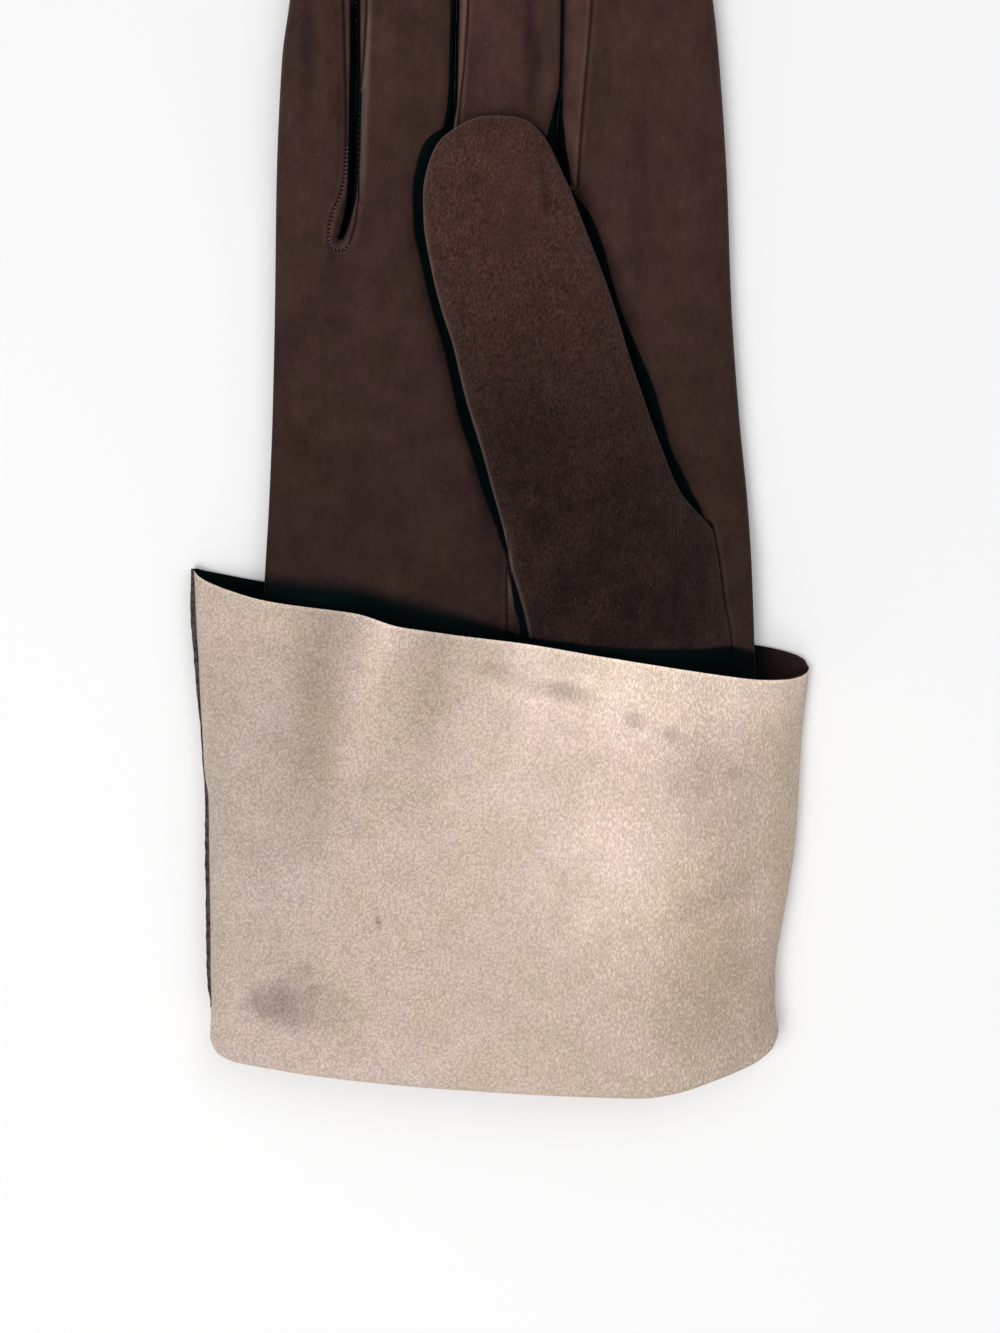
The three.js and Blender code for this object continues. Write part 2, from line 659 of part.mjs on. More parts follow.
function thumb() {
  const sheet = new Sheet();
  const rim = THUMB_OVER.length + 2 * THUMB_SIDE_POINTS;
  const closedRows = THUMB.map((row) => {
    const ring = thumbSection(row);
    return ring.map((p) => sheet.point(p.x, row.y, p.z));
  });
  for (let r = 0; r + 1 < closedRows.length; r += 1) {
    sheet.strip([...closedRows[r], closedRows[r][0]], [...closedRows[r + 1], closedRows[r + 1][0]]);
  }

  // The tip closes to a point
  const apex = sheet.point(THUMB_TIP.x, THUMB_TIP.y, THUMB_TIP.z);
  const tip = closedRows[closedRows.length - 1];
  tip.forEach((id, i) => sheet.cell(id, tip[(i + 1) % tip.length], apex));

  // Over the hole only the arch goes on, and the underside turns down into the hole's top edge
  const joint = closedRows[0];
  const underside = [joint[rim - 1], ...joint.slice(rim), joint[0]];
  const arches = [...HOLE].reverse();
  arches.forEach((row) => {
    row.ids = archSection(row, row.y).map((p) => sheet.point(p.x, row.y, p.z));
  });
  const topLine = underside.map((id) => sheet.points[id]);
  const turnY = HOLE_TOP - SEAM_GAP;
  const corners = [arches[0].ids[rim - 1], arches[0].ids[0]];
  const below = (p) => palmTop(p.x, turnY) - LEATHER * RIM_DEPTH;
  const down = topLine.slice(1, -1).map((p) => sheet.point(p.x, turnY, below(p)));
  sheet.strip([corners[0], ...down, corners[1]], underside);
  sheet.strip(arches[0].ids, joint.slice(0, rim));
  for (let r = 0; r + 1 < arches.length; r += 1) sheet.strip(arches[r + 1].ids, arches[r].ids);
  return sheet.solid(LEATHER);
}

// The opening cut in the palm panel for the thumb, a seam's gap wider than the thumb's edge
function holeCutter() {
  const outline = new THREE.Shape();
  const sides = HOLE.map((row) => ({ ...row, y: row.y - SEAM_GAP }));
  const top = sides[sides.length - 1];
  sides.forEach((row, i) => (i === 0 ? outline.moveTo(row.right, row.y) : outline.lineTo(row.right, row.y)));
  outline.lineTo(top.right - HOLE_CORNER, HOLE_TOP);
  outline.lineTo(top.left + HOLE_CORNER, HOLE_TOP);
  [...sides].reverse().forEach((row) => outline.lineTo(row.left, row.y));
  outline.closePath();
  const cutter = new THREE.ExtrudeGeometry(outline, { depth: CUTTER_DEPTH, bevelEnabled: false });
  cutter.translate(0, 0, SIDE_HEIGHT + BACK_LIFT);
  return cutter;
}

// The turned cuff: its cream face runs from the hem down to the fold, round it and into the wrist
function turnedCuff() {
  const sheet = new Sheet();
  const rings = CUFF_ROWS.map((down) => CUFF_COLUMNS.map((around) => cuffPoint(around, down)));
  for (let i = 1; i <= FOLD_STEPS; i += 1) {
    const angle = (Math.PI * i) / FOLD_STEPS;
    const inset = FOLD_RADIUS * (1 - Math.cos(angle));
    const ring = CUFF_COLUMNS.map((around) => cuffPoint(around, 1, inset));
    ring.forEach((p) => {
      p.y -= FOLD_RADIUS * Math.sin(angle);
    });
    rings.push(ring);
  }
  for (const share of TURN_STEPS) {
    rings.push(CUFF_COLUMNS.map((around) => turnedIn(around, share, FOLD_RADIUS * 2)));
  }
  const ids = rings.map((ring) => ring.map((p) => sheet.point(p.x, p.y, p.z)));
  for (let r = 0; r + 1 < ids.length; r += 1) {
    sheet.strip([...ids[r + 1], ids[r + 1][0]], [...ids[r], ids[r][0]]);
  }
  return sheet.solid(LEATHER);
}

// The seam strip stands out from the cuff's left edge
function sideSeam() {
  const rings = [];
  for (const down of CUFF_ROWS) {
    const edge = cuffPoint(0, down);
    const near = edge.x - SEAM_GAP;
    const far = near - SEAM_WIDTH + SEAM_GAP;
    const half = SEAM_HEIGHT / 2;
    rings.push([
      new THREE.Vector3(near, edge.y, edge.z + half),
      new THREE.Vector3(far, edge.y, edge.z + half * SEAM_TAPER),
      new THREE.Vector3(far, edge.y, edge.z - half * SEAM_TAPER),
      new THREE.Vector3(near, edge.y, edge.z - half),
    ]);
  }
  return loft(rings);
}

const wasm = await Module();
wasm.setup();

function toManifold(geometry) {
  const plain = geometry.clone();
  plain.deleteAttribute('normal');
  plain.deleteAttribute('uv');
  const merged = mergeVertices(plain);
  const mesh = new wasm.Mesh({
    numProp: 3,
    vertProperties: new Float32Array(merged.attributes.position.array),
    triVerts: new Uint32Array(merged.index.array),
  });
  return new wasm.Manifold(mesh);
}

function toGeometry(manifold) {
  const { vertProperties, triVerts } = manifold.getMesh();
  const geometry = new THREE.BufferGeometry();
  geometry.setAttribute('position', new THREE.BufferAttribute(vertProperties, 3));
  geometry.setIndex(new THREE.BufferAttribute(triVerts, 1));
  return geometry;
}

function piece(name, geometry, finish) {
  const mesh = new THREE.Mesh(geometry, new THREE.MeshStandardMaterial(finish));
  mesh.name = name;
  geometry.computeVertexNormals();
  return mesh;
}

const { geometry: trankGeometry, fingers } = trank();
const hand = toManifold(trankGeometry).subtract(toManifold(holeCutter()));

const group = new THREE.Group();
group.add(piece('hand', toGeometry(hand), SUEDE));
group.add(piece('thumb', thumb(), NAPPED_SUEDE));
SLITS.forEach((slit, index) => {
  group.add(piece(`fourchette_${slit.name}`, fourchette(slit, index, fingers), STRIP_SUEDE));
});
group.add(piece('turned_cuff', turnedCuff(), CREAM_LEATHER));
group.add(piece('cuff_side_seam', sideSeam(), SEAM_SUEDE));

export default group;
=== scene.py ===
"""A right-hand suede glove lying palm up, its long cuff turned back over the palm."""

import math
from functools import lru_cache, partial

import bmesh
import bpy
from bpy.props import FloatProperty, FloatVectorProperty, IntProperty, PointerProperty
from mathutils import Matrix, Vector, noise


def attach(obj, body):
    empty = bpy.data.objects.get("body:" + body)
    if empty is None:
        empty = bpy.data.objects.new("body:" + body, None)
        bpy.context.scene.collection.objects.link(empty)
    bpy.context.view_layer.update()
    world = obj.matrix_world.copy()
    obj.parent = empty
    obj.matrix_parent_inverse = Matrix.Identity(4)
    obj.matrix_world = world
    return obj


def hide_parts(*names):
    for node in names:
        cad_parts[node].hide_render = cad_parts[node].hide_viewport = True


bl_info = {
    "name": "Suede glove",
    "version": (1, 0, 0),
    "blender": (4, 5, 0),
    "location": "3D View > Sidebar > Glove",
    "description": "Builds a suede glove with a turned-back cuff, piece by piece",
    "category": "Add Mesh",
}

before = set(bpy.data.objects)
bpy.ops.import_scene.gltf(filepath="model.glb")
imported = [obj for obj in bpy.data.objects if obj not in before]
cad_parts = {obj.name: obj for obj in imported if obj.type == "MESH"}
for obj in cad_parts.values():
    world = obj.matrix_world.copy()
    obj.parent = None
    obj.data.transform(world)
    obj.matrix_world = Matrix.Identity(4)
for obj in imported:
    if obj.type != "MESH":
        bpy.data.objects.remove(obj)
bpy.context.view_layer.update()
MM = 0.001
UP = Vector((0, 0, 1))

# How near two points of a mesh lie that are joined, and the same for the cuff's closer ones
WELD = 0.02
CUFF_WELD = 0.01

# A squared length that is safe to divide by, and how far past a crotch a row has to be to be above it
TINY = 1e-9
BARELY = 0.01

# Heights and lifts of the hand, in millimetres as every size down to the properties
SIDE_HEIGHT = 3.6
BACK_LIFT = 1.5
BACK_LIFT_FROM = -10
BACK_LIFT_TO = -25
SIDE_ROUNDING = 5
FINGER_CROWN = 8.7
SLIT_HEIGHT = 6.2
CROTCH_BLEND_FROM = 36
CROTCH_BLEND_TO = 66
WRIST = -40
TURN_END = (-107, -109)
TURN_NARROWING = 0.975
TURN_GAP = 0.5
FOLD_RADIUS = 1.3
LEATHER = 1.0
SEAM_GAP = 0.06

# Fullness of the rounded sections: 2 is an ellipse, and more is squarer
PALM_FULLNESS = 2.8
WRAPPED_FULLNESS = 2.6
SLIT_FULLNESS = 2.4
TIP_SECTION = 2.2
TIP_CORNER = math.pi * 0.28
TIP_FULLNESS = 0.92
THUMB_FULLNESS = 2.6
THUMB_SLOPE_FULLNESS = 2.2
THUMB_SLOPE_POWER = 0.8


def lerp(a, b, t):
    return a + (b - a) * t


def smooth(value, low, high):
    """Rises smoothly from 0 at low to 1 at high."""
    t = min(1.0, max(0.0, (value - low) / (high - low)))
    return t * t * (3 - 2 * t)


def rounded(distance, radius):
    """Quarter round from 0 at an edge to 1 at a distance of radius from it."""
    short = max(0.0, 1 - distance / radius)
    return math.sqrt(1 - short * short)


def bell(distance, width):
    """A soft hump that is 1 at its middle and has faded at about twice its width."""
    return math.exp(-((distance / width) ** 2))


class Table:
    """Rows under named columns, read along a smooth curve with no overshoot."""

    def __init__(self, columns, *rows):
        self.columns = columns.split()
        self.rows = rows

    @lru_cache(maxsize=None)
    def read(self, column, place):
        keys = [row[0] for row in self.rows]
        values = [row[self.columns.index(column)] for row in self.rows]
        last = len(keys) - 1
        at = min(max(place, keys[0]), keys[last])
        i = 0
        while i < last - 1 and keys[i + 1] < at:
            i += 1
        rises = [(values[j + 1] - values[j]) / (keys[j + 1] - keys[j]) for j in range(last)]

        def slope(j):
            if j in (0, last):
                return rises[0] if j == 0 else rises[-1]
            before, after = rises[j - 1], rises[j]
            return 2 * before * after / (before + after) if before * after > 0 else 0.0

        span = keys[i + 1] - keys[i]
        t = (at - keys[i]) / span
        ease = t * t * (3 - 2 * t)
        bend = t * (1 - t) * span
        return lerp(values[i], values[i + 1], ease) + bend * ((1 - t) * slope(i) - t * slope(i + 1))

    def at(self, place):
        """Every column but the first at a place."""
        return [self.read(column, place) for column in self.columns[1:]]


# Palm outline and the height of its crown
PALM = Table(
    "y left right crown",
    (-40, -47.0, 50.0, 10.0),
    (-27, -46.2, 49.5, 9.8),
    (-13, -45.4, 48.7, 10.0),
    (5, -44.6, 46.9, 10.0),
    (28, -44.0, 45.2, 9.8),
    (51, -43.6, 44.3, 9.2),
    (75, -42.4, 42.6, 9.0),
    (86, -40.9, 41.4, 9.0),
    (107, -39.0, 37.6, 9.0),
)

# Slits between the fingers: the panel's edge before the slit, the middle of the gap, the next
# panel's edge after it, and the half width of the painted shade in the slot over the gap
SLITS = (
    Table(
        "y before gap after slot",
        (-40, -34.5, -32.5, -30.5, 0.7),
        (20, -33.6, -31.4, -29.2, 0.7),
        (34, -33.6, -31.4, -29.6, 0.7),
        (39.5, -33.4, -31.0, -29.0, 0.55),
        (42, -33.2, -30.2, -28.3, 0.7),
        (45.5, -32.3, -29.3, -27.8, 0.8),
        (48.5, -30.9, -28.8, -27.6, 0.9),
        (52, -30.2, -28.6, -27.6, 0.95),
        (57, -29.9, -28.45, -27.4, 1.0),
        (65, -29.9, -28.25, -27.2, 1.05),
        (69, -29.95, -28.2, -27.0, 1.05),
        (75, -30.1, -28.1, -26.4, 1.0),
        (87, -30.4, -28.1, -25.8, 0.9),
        (107, -31.3, -29.3, -26.4, 0.7),
    ),
    Table(
        "y before gap after slot",
        (-40, -11.0, -9.0, -7.0, 0.6),
        (39, -11.2, -9.8, -8.2, 0.6),
        (50, -11.4, -10.3, -8.6, 0.6),
        (57, -11.2, -10.1, -8.6, 0.8),
        (62, -10.6, -9.7, -8.2, 0.75),
        (66, -9.9, -9.0, -7.8, 0.65),
        (71, -9.6, -8.8, -7.2, 0.6),
        (75, -9.5, -8.75, -6.8, 0.6),
        (86, -9.3, -8.5, -6.1, 0.6),
        (107, -10.7, -9.4, -5.4, 0.5),
    ),
    Table(
        "y before gap after slot",
        (-40, 14.0, 16.0, 18.0, 0.3),
        (39, 12.6, 14.2, 16.0, 0.3),
        (50, 12.0, 13.2, 15.1, 0.5),
        (55, 10.3, 11.8, 15.4, 1.4),
        (59, 9.5, 11.1, 15.65, 1.5),
        (63.5, 10.4, 11.3, 16.0, 0.8),
        (67, 11.2, 11.75, 16.3, 0.4),
        (69.5, 11.7, 11.95, 16.5, 0.05),
        (75, 11.9, 12.05, 17.0, -0.05),
        (86, 12.05, 12.2, 17.8, -0.05),
        (107, 11.15, 11.3, 18.6, -0.05),
    ),
)
SLIT_NAMES = ("little_ring", "ring_middle", "middle_index")
CROTCHES = (39.5, 50, 50)
CROTCH_DEPTHS = (2.0, 1.1, 1.1)
CROTCH_EASE = 9
GAP_HALF = 0.04
GAP_END = 1.3

# Fingers from the little one to the forefinger: where the tip ends and how long its rounding is
TIPS = (95.6, 118.6, 129, 118.6)
TIP_ROUNDINGS = (9.6, 11.6, 12, 12.6)

# Thumb outline and heights from the thumb hole to the tip
THUMB = Table(
    "y left right bottom top flare",
    (-15.5, 0.2, 41.0, 10.2, 18.0, 1),
    (-13.4, -0.3, 38.6, 10.1, 18.0, 0.8),
    (-9, -1.6, 34.9, 9.6, 18.0, 0.35),
    (-3, -3.2, 32.3, 9.0, 17.8, 0.1),
    (8, -6.4, 28.2, 8.8, 17.4, 0),
    (18.5, -9.1, 24.6, 8.8, 17.2, 0),
    (26.7, -11.7, 22.1, 8.8, 17.0, 0),
    (35, -13.6, 19.2, 8.8, 16.8, 0),
    (42.6, -14.8, 16.2, 8.9, 16.4, 0),
    (48.7, -14.9, 13.8, 9.1, 15.9, 0),
    (53.5, -14.0, 11.6, 9.3, 15.2, 0),
    (57.3, -12.5, 9.8, 9.4, 14.4, 0),
    (58.8, -11.5, 8.9, 9.5, 14.0, 0),
    (60.2, -9.9, 7.9, 9.6, 13.5, 0),
    (61.4, -8.0, 6.8, 9.8, 13.0, 0),
    (62.5, -6.0, 5.4, 10.0, 12.5, 0),
    (63.3, -4.0, 3.6, 10.3, 12.0, 0),
)
THUMB_TIP = Vector((-0.2, 64.0, 11.1))
THUMB_CLEARANCE = 0.5
THUMB_CORNER_MOST = 2.5
THUMB_CORNER_SHARE = 0.16
THUMB_MIDDLE = 0.46
THUMB_UNDERCUT = (0.28, 0.42)

# Painted shade along the fold on the arch: the row where it starts and the one by the hem where it is
# widest, its half width at both, and how softly it ends to the sides and at its start
ROLL_FROM = -22
ROLL_TO = -32
ROLL_HALF = (0.3, 0.75)
ROLL_SOFT = 0.4
ROLL_START_SOFT = 3

# Painted highlight round the thumb, by how steep its side is and which way it faces: its strength,
# the slopes between which it grows, its way, its least share and what is added before that
RIM_LIGHT = 0.8
RIM_SLOPES = (0.86, 0.3)
RIM_WAY = Vector((0.9, 0.45))
RIM_LEAST = 0.25
RIM_MORE = 0.5

# How deep the painted shade is on the thumb where its side overhangs, by how far it faces down
OVERHANG_DARK = 3
OVERHANG_FROM = 0.5

# How deep the thumb presses into the palm, how far the dent fades out, and where it starts and ends
THUMB_BED = 2.6
THUMB_BED_FADE = 2.4
THUMB_BED_FROM = (-26, -8)
THUMB_BED_TO = (50, 61)

# Width of the painted shade on the palm beside the thumb, where the thumb shades it
BANDS = Table(
    "y left right",
    (-26, 0, 0),
    (-23, 0.4, 0),
    (-17, 1.2, 0),
    (-14.2, 1.5, 0.3),
    (-12, 1.7, 1.8),
    (-7.3, 1.95, 2.5),
    (-1, 2.15, 1.9),
    (4, 2.45, 2.4),
    (11, 2.15, 2.8),
    (20, 1.85, 2.0),
    (26, 1.75, 1.3),
    (31, 1.7, 1.4),
    (36, 1.75, 1.9),
    (41.4, 2.1, 2.3),
    (45, 2.1, 2.0),
    (47, 2.1, 1.2),
    (50, 2.2, 0.3),
    (54, 2.4, 0.3),
    (57, 2.7, 0.6),
    (60, 2.9, 0.6),
    (62, 1.6, 0.4),
    (63.5, 0.2, 0.2),
)
BAND_SOFT = (0.6, 0.4)
BAND_TOP = 61.9

# How far below the front hem the painted shade in the mouth of the cuff goes, and how softly it ends
# there
MOUTH_DEPTH = 18
MOUTH_SOFT = 6

# How far the painted shade in the cuff's mouth climbs from the front hem, and how softly it ends
HEM_SHADE = Table(
    "x reach soft",
    (-47, 4.5, 4.5),
    (-20, 5.2, 4.5),
    (-9, 4.0, 3.2),
    (1.5, 1.7, 1.2),
    (6, 1.0, 0.6),
    (12, 1.3, 0.5),
    (22, 2.0, 0.6),
    (38, 4.2, 0.7),
    (46, 5.4, 0.7),
    (60, 5.4, 0.7),
)

# The thumb hole and the thumb's arch over it: the hole's two sides, the rolled left edge and the top
HOLE = Table(
    "y left right roll top",
    (-62, 14.0, 33.0, 15.5, 9.9),
    (-59, 7.0, 39.5, 9.5, 11.2),
    (-54, 3.0, 43.6, 7.2, 13.2),
    (-47, 1.5, 45.2, 6.4, 15.7),
    (-39, 1.3, 45.2, 5.9, 17.6),
    (-30, 1.3, 43.8, 4.0, 18.3),
    (-24.6, 1.4, 43.2, 2.3, 18.2),
    (-22, 1.5, 42.8, 1.7, 18.2),
    (-17, 1.5, 41.8, 0.6, 18.1),
)

# Rows between which the hole lies, its top edge and how its corners are cut, how far off its seam is
# still looked for, how deep the arch's edges sink and how its right one turns down, how high the
# arch's left side swells, and the lean of its left wall: share of the way, outwards and upwards
HOLE_FROM = -62
HOLE_TO = -17
HOLE_TOP = -15.2
HOLE_CORNER = 0.8
HOLE_REACH = 5
RIM_DEPTH = 0.9
RIM_TURN = ((0.05, 0.35), (0.1, RIM_DEPTH))
ARCH_MIDDLE = 0.42
ARCH_RISE = (0.45, 0.5, 0.5)

# Shares of the way between the first points of the thumb's sections, and on to the third one
SECTION_SHARES = ((0, 0.5), (0, 0.4, 0.7, 0.88))

# How often the thumb is smoothed, and how near to its last ring a point counts as one of it
THUMB_SMOOTHINGS = 3
RING_REACH = 0.03

# Cuff sides from the fold up to the hem
CUFF_SIDES = Table(
    "y left right",
    (-118, -57.5, 55.5),
    (-114.5, -57.3, 55.0),
    (-111, -57.2, 54.5),
    (-104, -57.4, 54.5),
    (-96, -57.4, 55.6),
    (-88, -57.5, 57.0),
    (-79, -57.6, 58.3),
    (-70, -57.7, 58.9),
    (-64, -58.5, 59.2),
    (-58, -58.8, 59.5),
    (-53, -59.1, 60.0),
    (-48, -59.35, 60.6),
    (-42, -59.6, 61.1),
    (-36, -60.0, 61.1),
    (-24, -60.5, 60.9),
)

# Fold edge across the cuff, and the height of the cuff's front just above the fold
FOLD = Table(
    "across y height",
    (0, -118.6, 7.8),
    (0.012, -120.5, 8.2),
    (0.035, -121.5, 8.9),
    (0.1, -122.7, 10.2),
    (0.2, -124.3, 11.4),
    (0.4, -126.5, 12.0),
    (0.6, -127.9, 12.0),
    (0.76, -128.5, 11.8),
    (0.8, -128.0, 11.6),
    (0.9, -124.6, 10.4),
    (0.965, -121.5, 9.0),
    (0.988, -119.8, 8.3),
    (1, -117.4, 7.8),
)

# Front hem across the cuff, where it drapes over the palm and the thumb
FRONT_HEM = Table(
    "across y height",
    (0, -24.6, 4.0),
    (0.01, -26.0, 4.8),
    (0.035, -27.5, 6.0),
    (0.08, -29.3, 8.0),
    (0.12, -30.5, 9.4),
    (0.2, -31.9, 11.8),
    (0.27, -32.9, 13.6),
    (0.34, -35.4, 14.6),
    (0.42, -36.8, 16.2),
    (0.54, -38.4, 18.8),
    (0.65, -40.6, 20.2),
    (0.76, -42.8, 20.0),
    (0.86, -44.8, 16.9),
    (0.92, -45.8, 12.6),
    (0.96, -46.0, 8.9),
    (0.985, -45.6, 6.2),
    (0.996, -44.9, 4.9),
    (1, -44.2, 4.4),
)

# Back hem across the cuff, flat under the hand
BACK_HEM = Table(
    "across y", (0, -24.6), (0.12, -27.4), (0.92, -39.9), (0.97, -41.3), (0.992, -42.5), (1, -44.2)
)

# Soft folds in the cuff's front: start, end, height and half width
CUFF_FOLDS = (
    ((-22, -34), (-31, -70), 1.6, 4),
    ((-34, -32), (-38, -78), -1.3, 4.5),
    ((-13, -37), (-15, -76), -1.2, 4.5),
    ((-46, -30), (-50, -80), 0.6, 5),
    ((38, -52), (46, -96), -0.7, 6),
    ((6, -44), (2, -84), 0.5, 5),
)
# Painted light and shade of the cuff's folds: ridges lighter and valleys darker by the fold's height
FOLD_PAINTED_LIGHT = 0.16
CUFF_SIDE_HEIGHT = (2.2, 4.2)
CUFF_NOSE = 5.5
CUFF_NEAR = 0.002

# Waves in the cuff: share of the set height, place in the random pattern and length
CUFF_WAVES = ((1, 9.0, 26), (0.4, 90.0, 9))

# How deep the painted shade on the suede inside the cuff is, at its left and its right, and where
# that changes
INSIDE_SHADE = (0.95, 0.2)
INSIDE_CHANGE = (48, 59)

# Grid steps of the pieces
FINGER_COLUMNS = 22
COLUMN_CROWDING = 0.6
SLIT_COLUMNS = 6
PALM_STEPS = 70
CROTCH_STEPS = 10
FINGER_STEPS = 60
TIP_STEPS = 12
INSIDE_STEPS = 12
THUMB_COLUMNS = 40
THUMB_UNDER_COLUMNS = 16
ARCH_STEPS = 44
THUMB_STEPS = 80
CUFF_COLUMNS = 250
CUFF_STEPS = 88
CUFF_CROWDING = (0.8, 0.5)
FOLD_STEPS = 8
TURN_STEPS = 10
STRIP_COLUMNS = 22

# Soft waves of a piece: their height against the one that is set, how close they are along the glove
# against across it, and their length
PALM_WAVES = (1, 0.7, 22)
FINGER_WAVES = (1.3, 0.16, 6.5)
THUMB_WAVES = (0.6, 0.6, 14)

# Places of the pieces in the random pattern: how far from finger to finger and from strip to strip,
# and the thumb's own
FINGER_PLACES = 31.0
STRIP_PLACES = 17.0
THUMB_PLACE = 50.0

# Rolled edges along the sewn seams, how far from a seam its nearness is told, how softly a slot's
# painted shade ends and how much wider it is, the stretch where the ring finger's edge rolls over its
# seam and how far its painted shade reaches, and the height, closeness and length of the strips'
# ripples
SEAM_ROLL = 1.3
SEAM_DROP = 0.75
SEAM_REACH = 3.0
SLOT_SOFT = 0.3
SLOT_MORE = 0.1
ROLLED = (46.5, 68.4)
ROLLED_DARK = 0.3
STRIP_RIPPLE = 0.2
RIPPLE_TIGHT = 3
RIPPLE_LENGTH = 5

# Side seam strip along the cuff's left edge, and how wide it stands out from place to place
SEAM_STRIP = Table(
    "y width",
    (-118, 0.1),
    (-110.5, 0.1),
    (-107.6, 0.5),
    (-96, 0.7),
    (-79, 0.65),
    (-69, 0.5),
    (-66.5, 0.12),
    (-57, 0.12),
    (-50, 0.4),
    (-42, 0.7),
    (-34, 0.8),
    (-30, 0.7),
    (-25, 0.3),
)

# Soft light and dark streaks in the palm and fingers, painted light and shade along soft folds and
# rolled edges, the lightest also greyer as rubbed nap: start, end, light and half width
STREAK_ENDS = 0.7
STREAKS = (
    ((-37.6, 88), (-37.0, 60), -0.27, 1.3),
    ((-34.6, 88), (-34.2, 55), 0.17, 1.2),
    ((-40.2, 80), (-41.4, 40), 0.14, 1.2),
    ((-22.0, 88), (-21.0, 62), 0.2, 2.6),
    ((-17.5, 80), (-16.0, 50), -0.1, 2.0),
    ((5.6, 90), (5.9, 61), -0.6, 1.0),
    ((7.6, 80), (7.0, 66), -0.34, 0.8),
    ((9.4, 74), (9.0, 60), 0.2, 0.9),
    ((27.5, 80), (26.5, 20), -0.17, 1.3),
    ((22.8, 60), (23.5, 25), 0.14, 1.6),
    ((36.5, 75), (38.0, 20), 0.12, 2.0),
    ((-25.4, 95), (-27.1, 43), 0.8, 0.95),
    ((-6.0, 90), (-7.6, 62), 0.5, 0.6),
    ((-32.4, 92), (-32.2, 52), 0.16, 0.7),
    ((-34.0, 40), (-31.0, 22), -0.2, 3.0),
    ((-27.5, 33), (-25.5, 20), 0.2, 2.4),
)


def measure(name, words, value):
    """A size property, given in millimetres."""
    return FloatProperty(name=name, description=words, default=value * MM, unit="LENGTH")


class GloveSizes(bpy.types.PropertyGroup):
    """Sizes that a user would change."""

    leather: measure("Leather", "Thickness of the leather walls", 1.0)
    strip_leather: measure("Strip leather", "Thickness of the strips", 0.7)
    edge_ply: measure("Sewn edge", "Thickness of each ply of the side seam", 0.5)
    wave: measure("Waves", "Height of the soft waves in the leather", 0.45)
    stitch_pitch: measure("Stitch pitch", "From one stitch to the next", 1.1)
    stitch_length: measure("Stitch length", "Length of each stitch", 0.8)
    thread: measure("Thread", "Thickness of the sewing thread", 0.26)
    floor: measure("Floor", "Width of the floor", 6000.0)
    seed: IntProperty(name="Seed", description="Moves the soft waves about", default=7)


def shade(name, words, value):
    """A colour property, given as the display colour from 0 to 255."""
    return FloatVectorProperty(
        name=name,
        description=words,
        subtype="COLOR_GAMMA",
        size=3,
        min=0,
        max=1,
        default=tuple(channel / 255 for channel in value),
    )


class GloveColours(bpy.types.PropertyGroup):
    """Colours that a user would change."""

    suede_plum: shade("Suede, plum", "Redder blotches of the suede", (55, 37, 35))
    suede_umber: shade("Suede, umber", "Yellower blotches of the suede", (57, 40, 34))
    # Near black of the painted shade in the slots, beside the thumb, in the cuff's mouth and under
    # overhangs
    crease: shade("Creases", "Near black of the deep creases", (7, 16, 17))
    seam_line: shade("Seam lines", "Dark red brown in the seams", (38, 21, 19))
    # Also the grey that the painted highlights on the thumb's rim and the light streaks turn towards
    rubbed_and_highlight: shade("Rubbed suede", "Greyer nap on rubbed edges", (108, 94, 93))
    thumb_tip: shade("Thumb tip", "Napped suede at the thumb's tip", (74, 50, 44))
    thumb_base: shade("Thumb base", "Napped suede at the thumb's base", (36, 23, 21))
    cream: shade("Cream", "Inner side of the leather", (219, 201, 188))
    cream_rose: shade("Cream, rose", "Pinker blotches of the inner side", (226, 200, 189))
    # Also the painted shade in the valleys beside the cuff's ridge
    cream_ochre_and_fold_shade: shade("Cream, ochre", "Yellower blotches of the inner side", (211, 190, 164))
    cream_grey: shade("Cream, grey", "Greyer parts of the inner side", (192, 179, 171))
    stain: shade("Stain", "Grey stains on the inner side", (134, 118, 112))
    seam: shade("Seam", "Sewn edges at the cuff's side", (60, 52, 51))
    thread: shade("Thread", "Sewing thread", (34, 22, 20))
    worn_thread: shade("Worn thread", "Sewing thread where it is worn", (104, 84, 75))
    edge_thread: shade("Edge thread", "Pale thread of the cuff's side seam", (176, 160, 150))
    floor: shade("Floor", "Pale floor", (247, 247, 247))


def linear(colour):
    """Scene colour of a display colour."""
    return tuple(c / 12.92 if c <= 0.04045 else ((c + 0.055) / 1.055) ** 2.4 for c in colour)


def colour(name, lift=1.0):
    """A colour property as a scene colour with alpha, made lighter or darker by lift."""
    red, green, blue = linear(getattr(bpy.context.scene.glove_colours, name))
    return (red * lift, green * lift, blue * lift, 1.0)


def sizes():
    return bpy.context.scene.glove_sizes


def in_mm(name):
    """A size property in millimetres."""
    return getattr(sizes(), name) / MM


def waves(x, y, z=0.0, length=1):
    """Soft random height from about -1 to 1, with waves of about the given length."""
    place = Vector((x / length, y / length, z / length + sizes().seed))
    return noise.noise(place) + 0.5 * noise.noise(place * 2.3)


# Hand: heights of the palm and the back
def back_lift(y):
    return BACK_LIFT * smooth(-y, -BACK_LIFT_FROM, -BACK_LIFT_TO)


def piece_wave(x, y, place, kind):
    """Height of a piece's soft waves, at its own place in the random pattern."""
    share, stretch, length = kind
    return in_mm("wave") * share * waves(x, y * stretch, place, length=length)


def thumb_sides(y):
    """Left and right of the thumb's outline at a row."""
    if y < THUMB.rows[0][0]:
        return HOLE.read("roll", y), HOLE.read("right", y)
    return THUMB.read("left", y), THUMB.read("right", y)


def beside_thumb(x, y):
    """Distance from the thumb's outline, less than 0 under the thumb."""
    left, right = thumb_sides(min(y, THUMB.rows[-1][0]))
    aside = max(left - x, x - right)
    beyond = y - THUMB_TIP.y
    return math.hypot(max(aside, 0), beyond) if beyond > 0 else aside


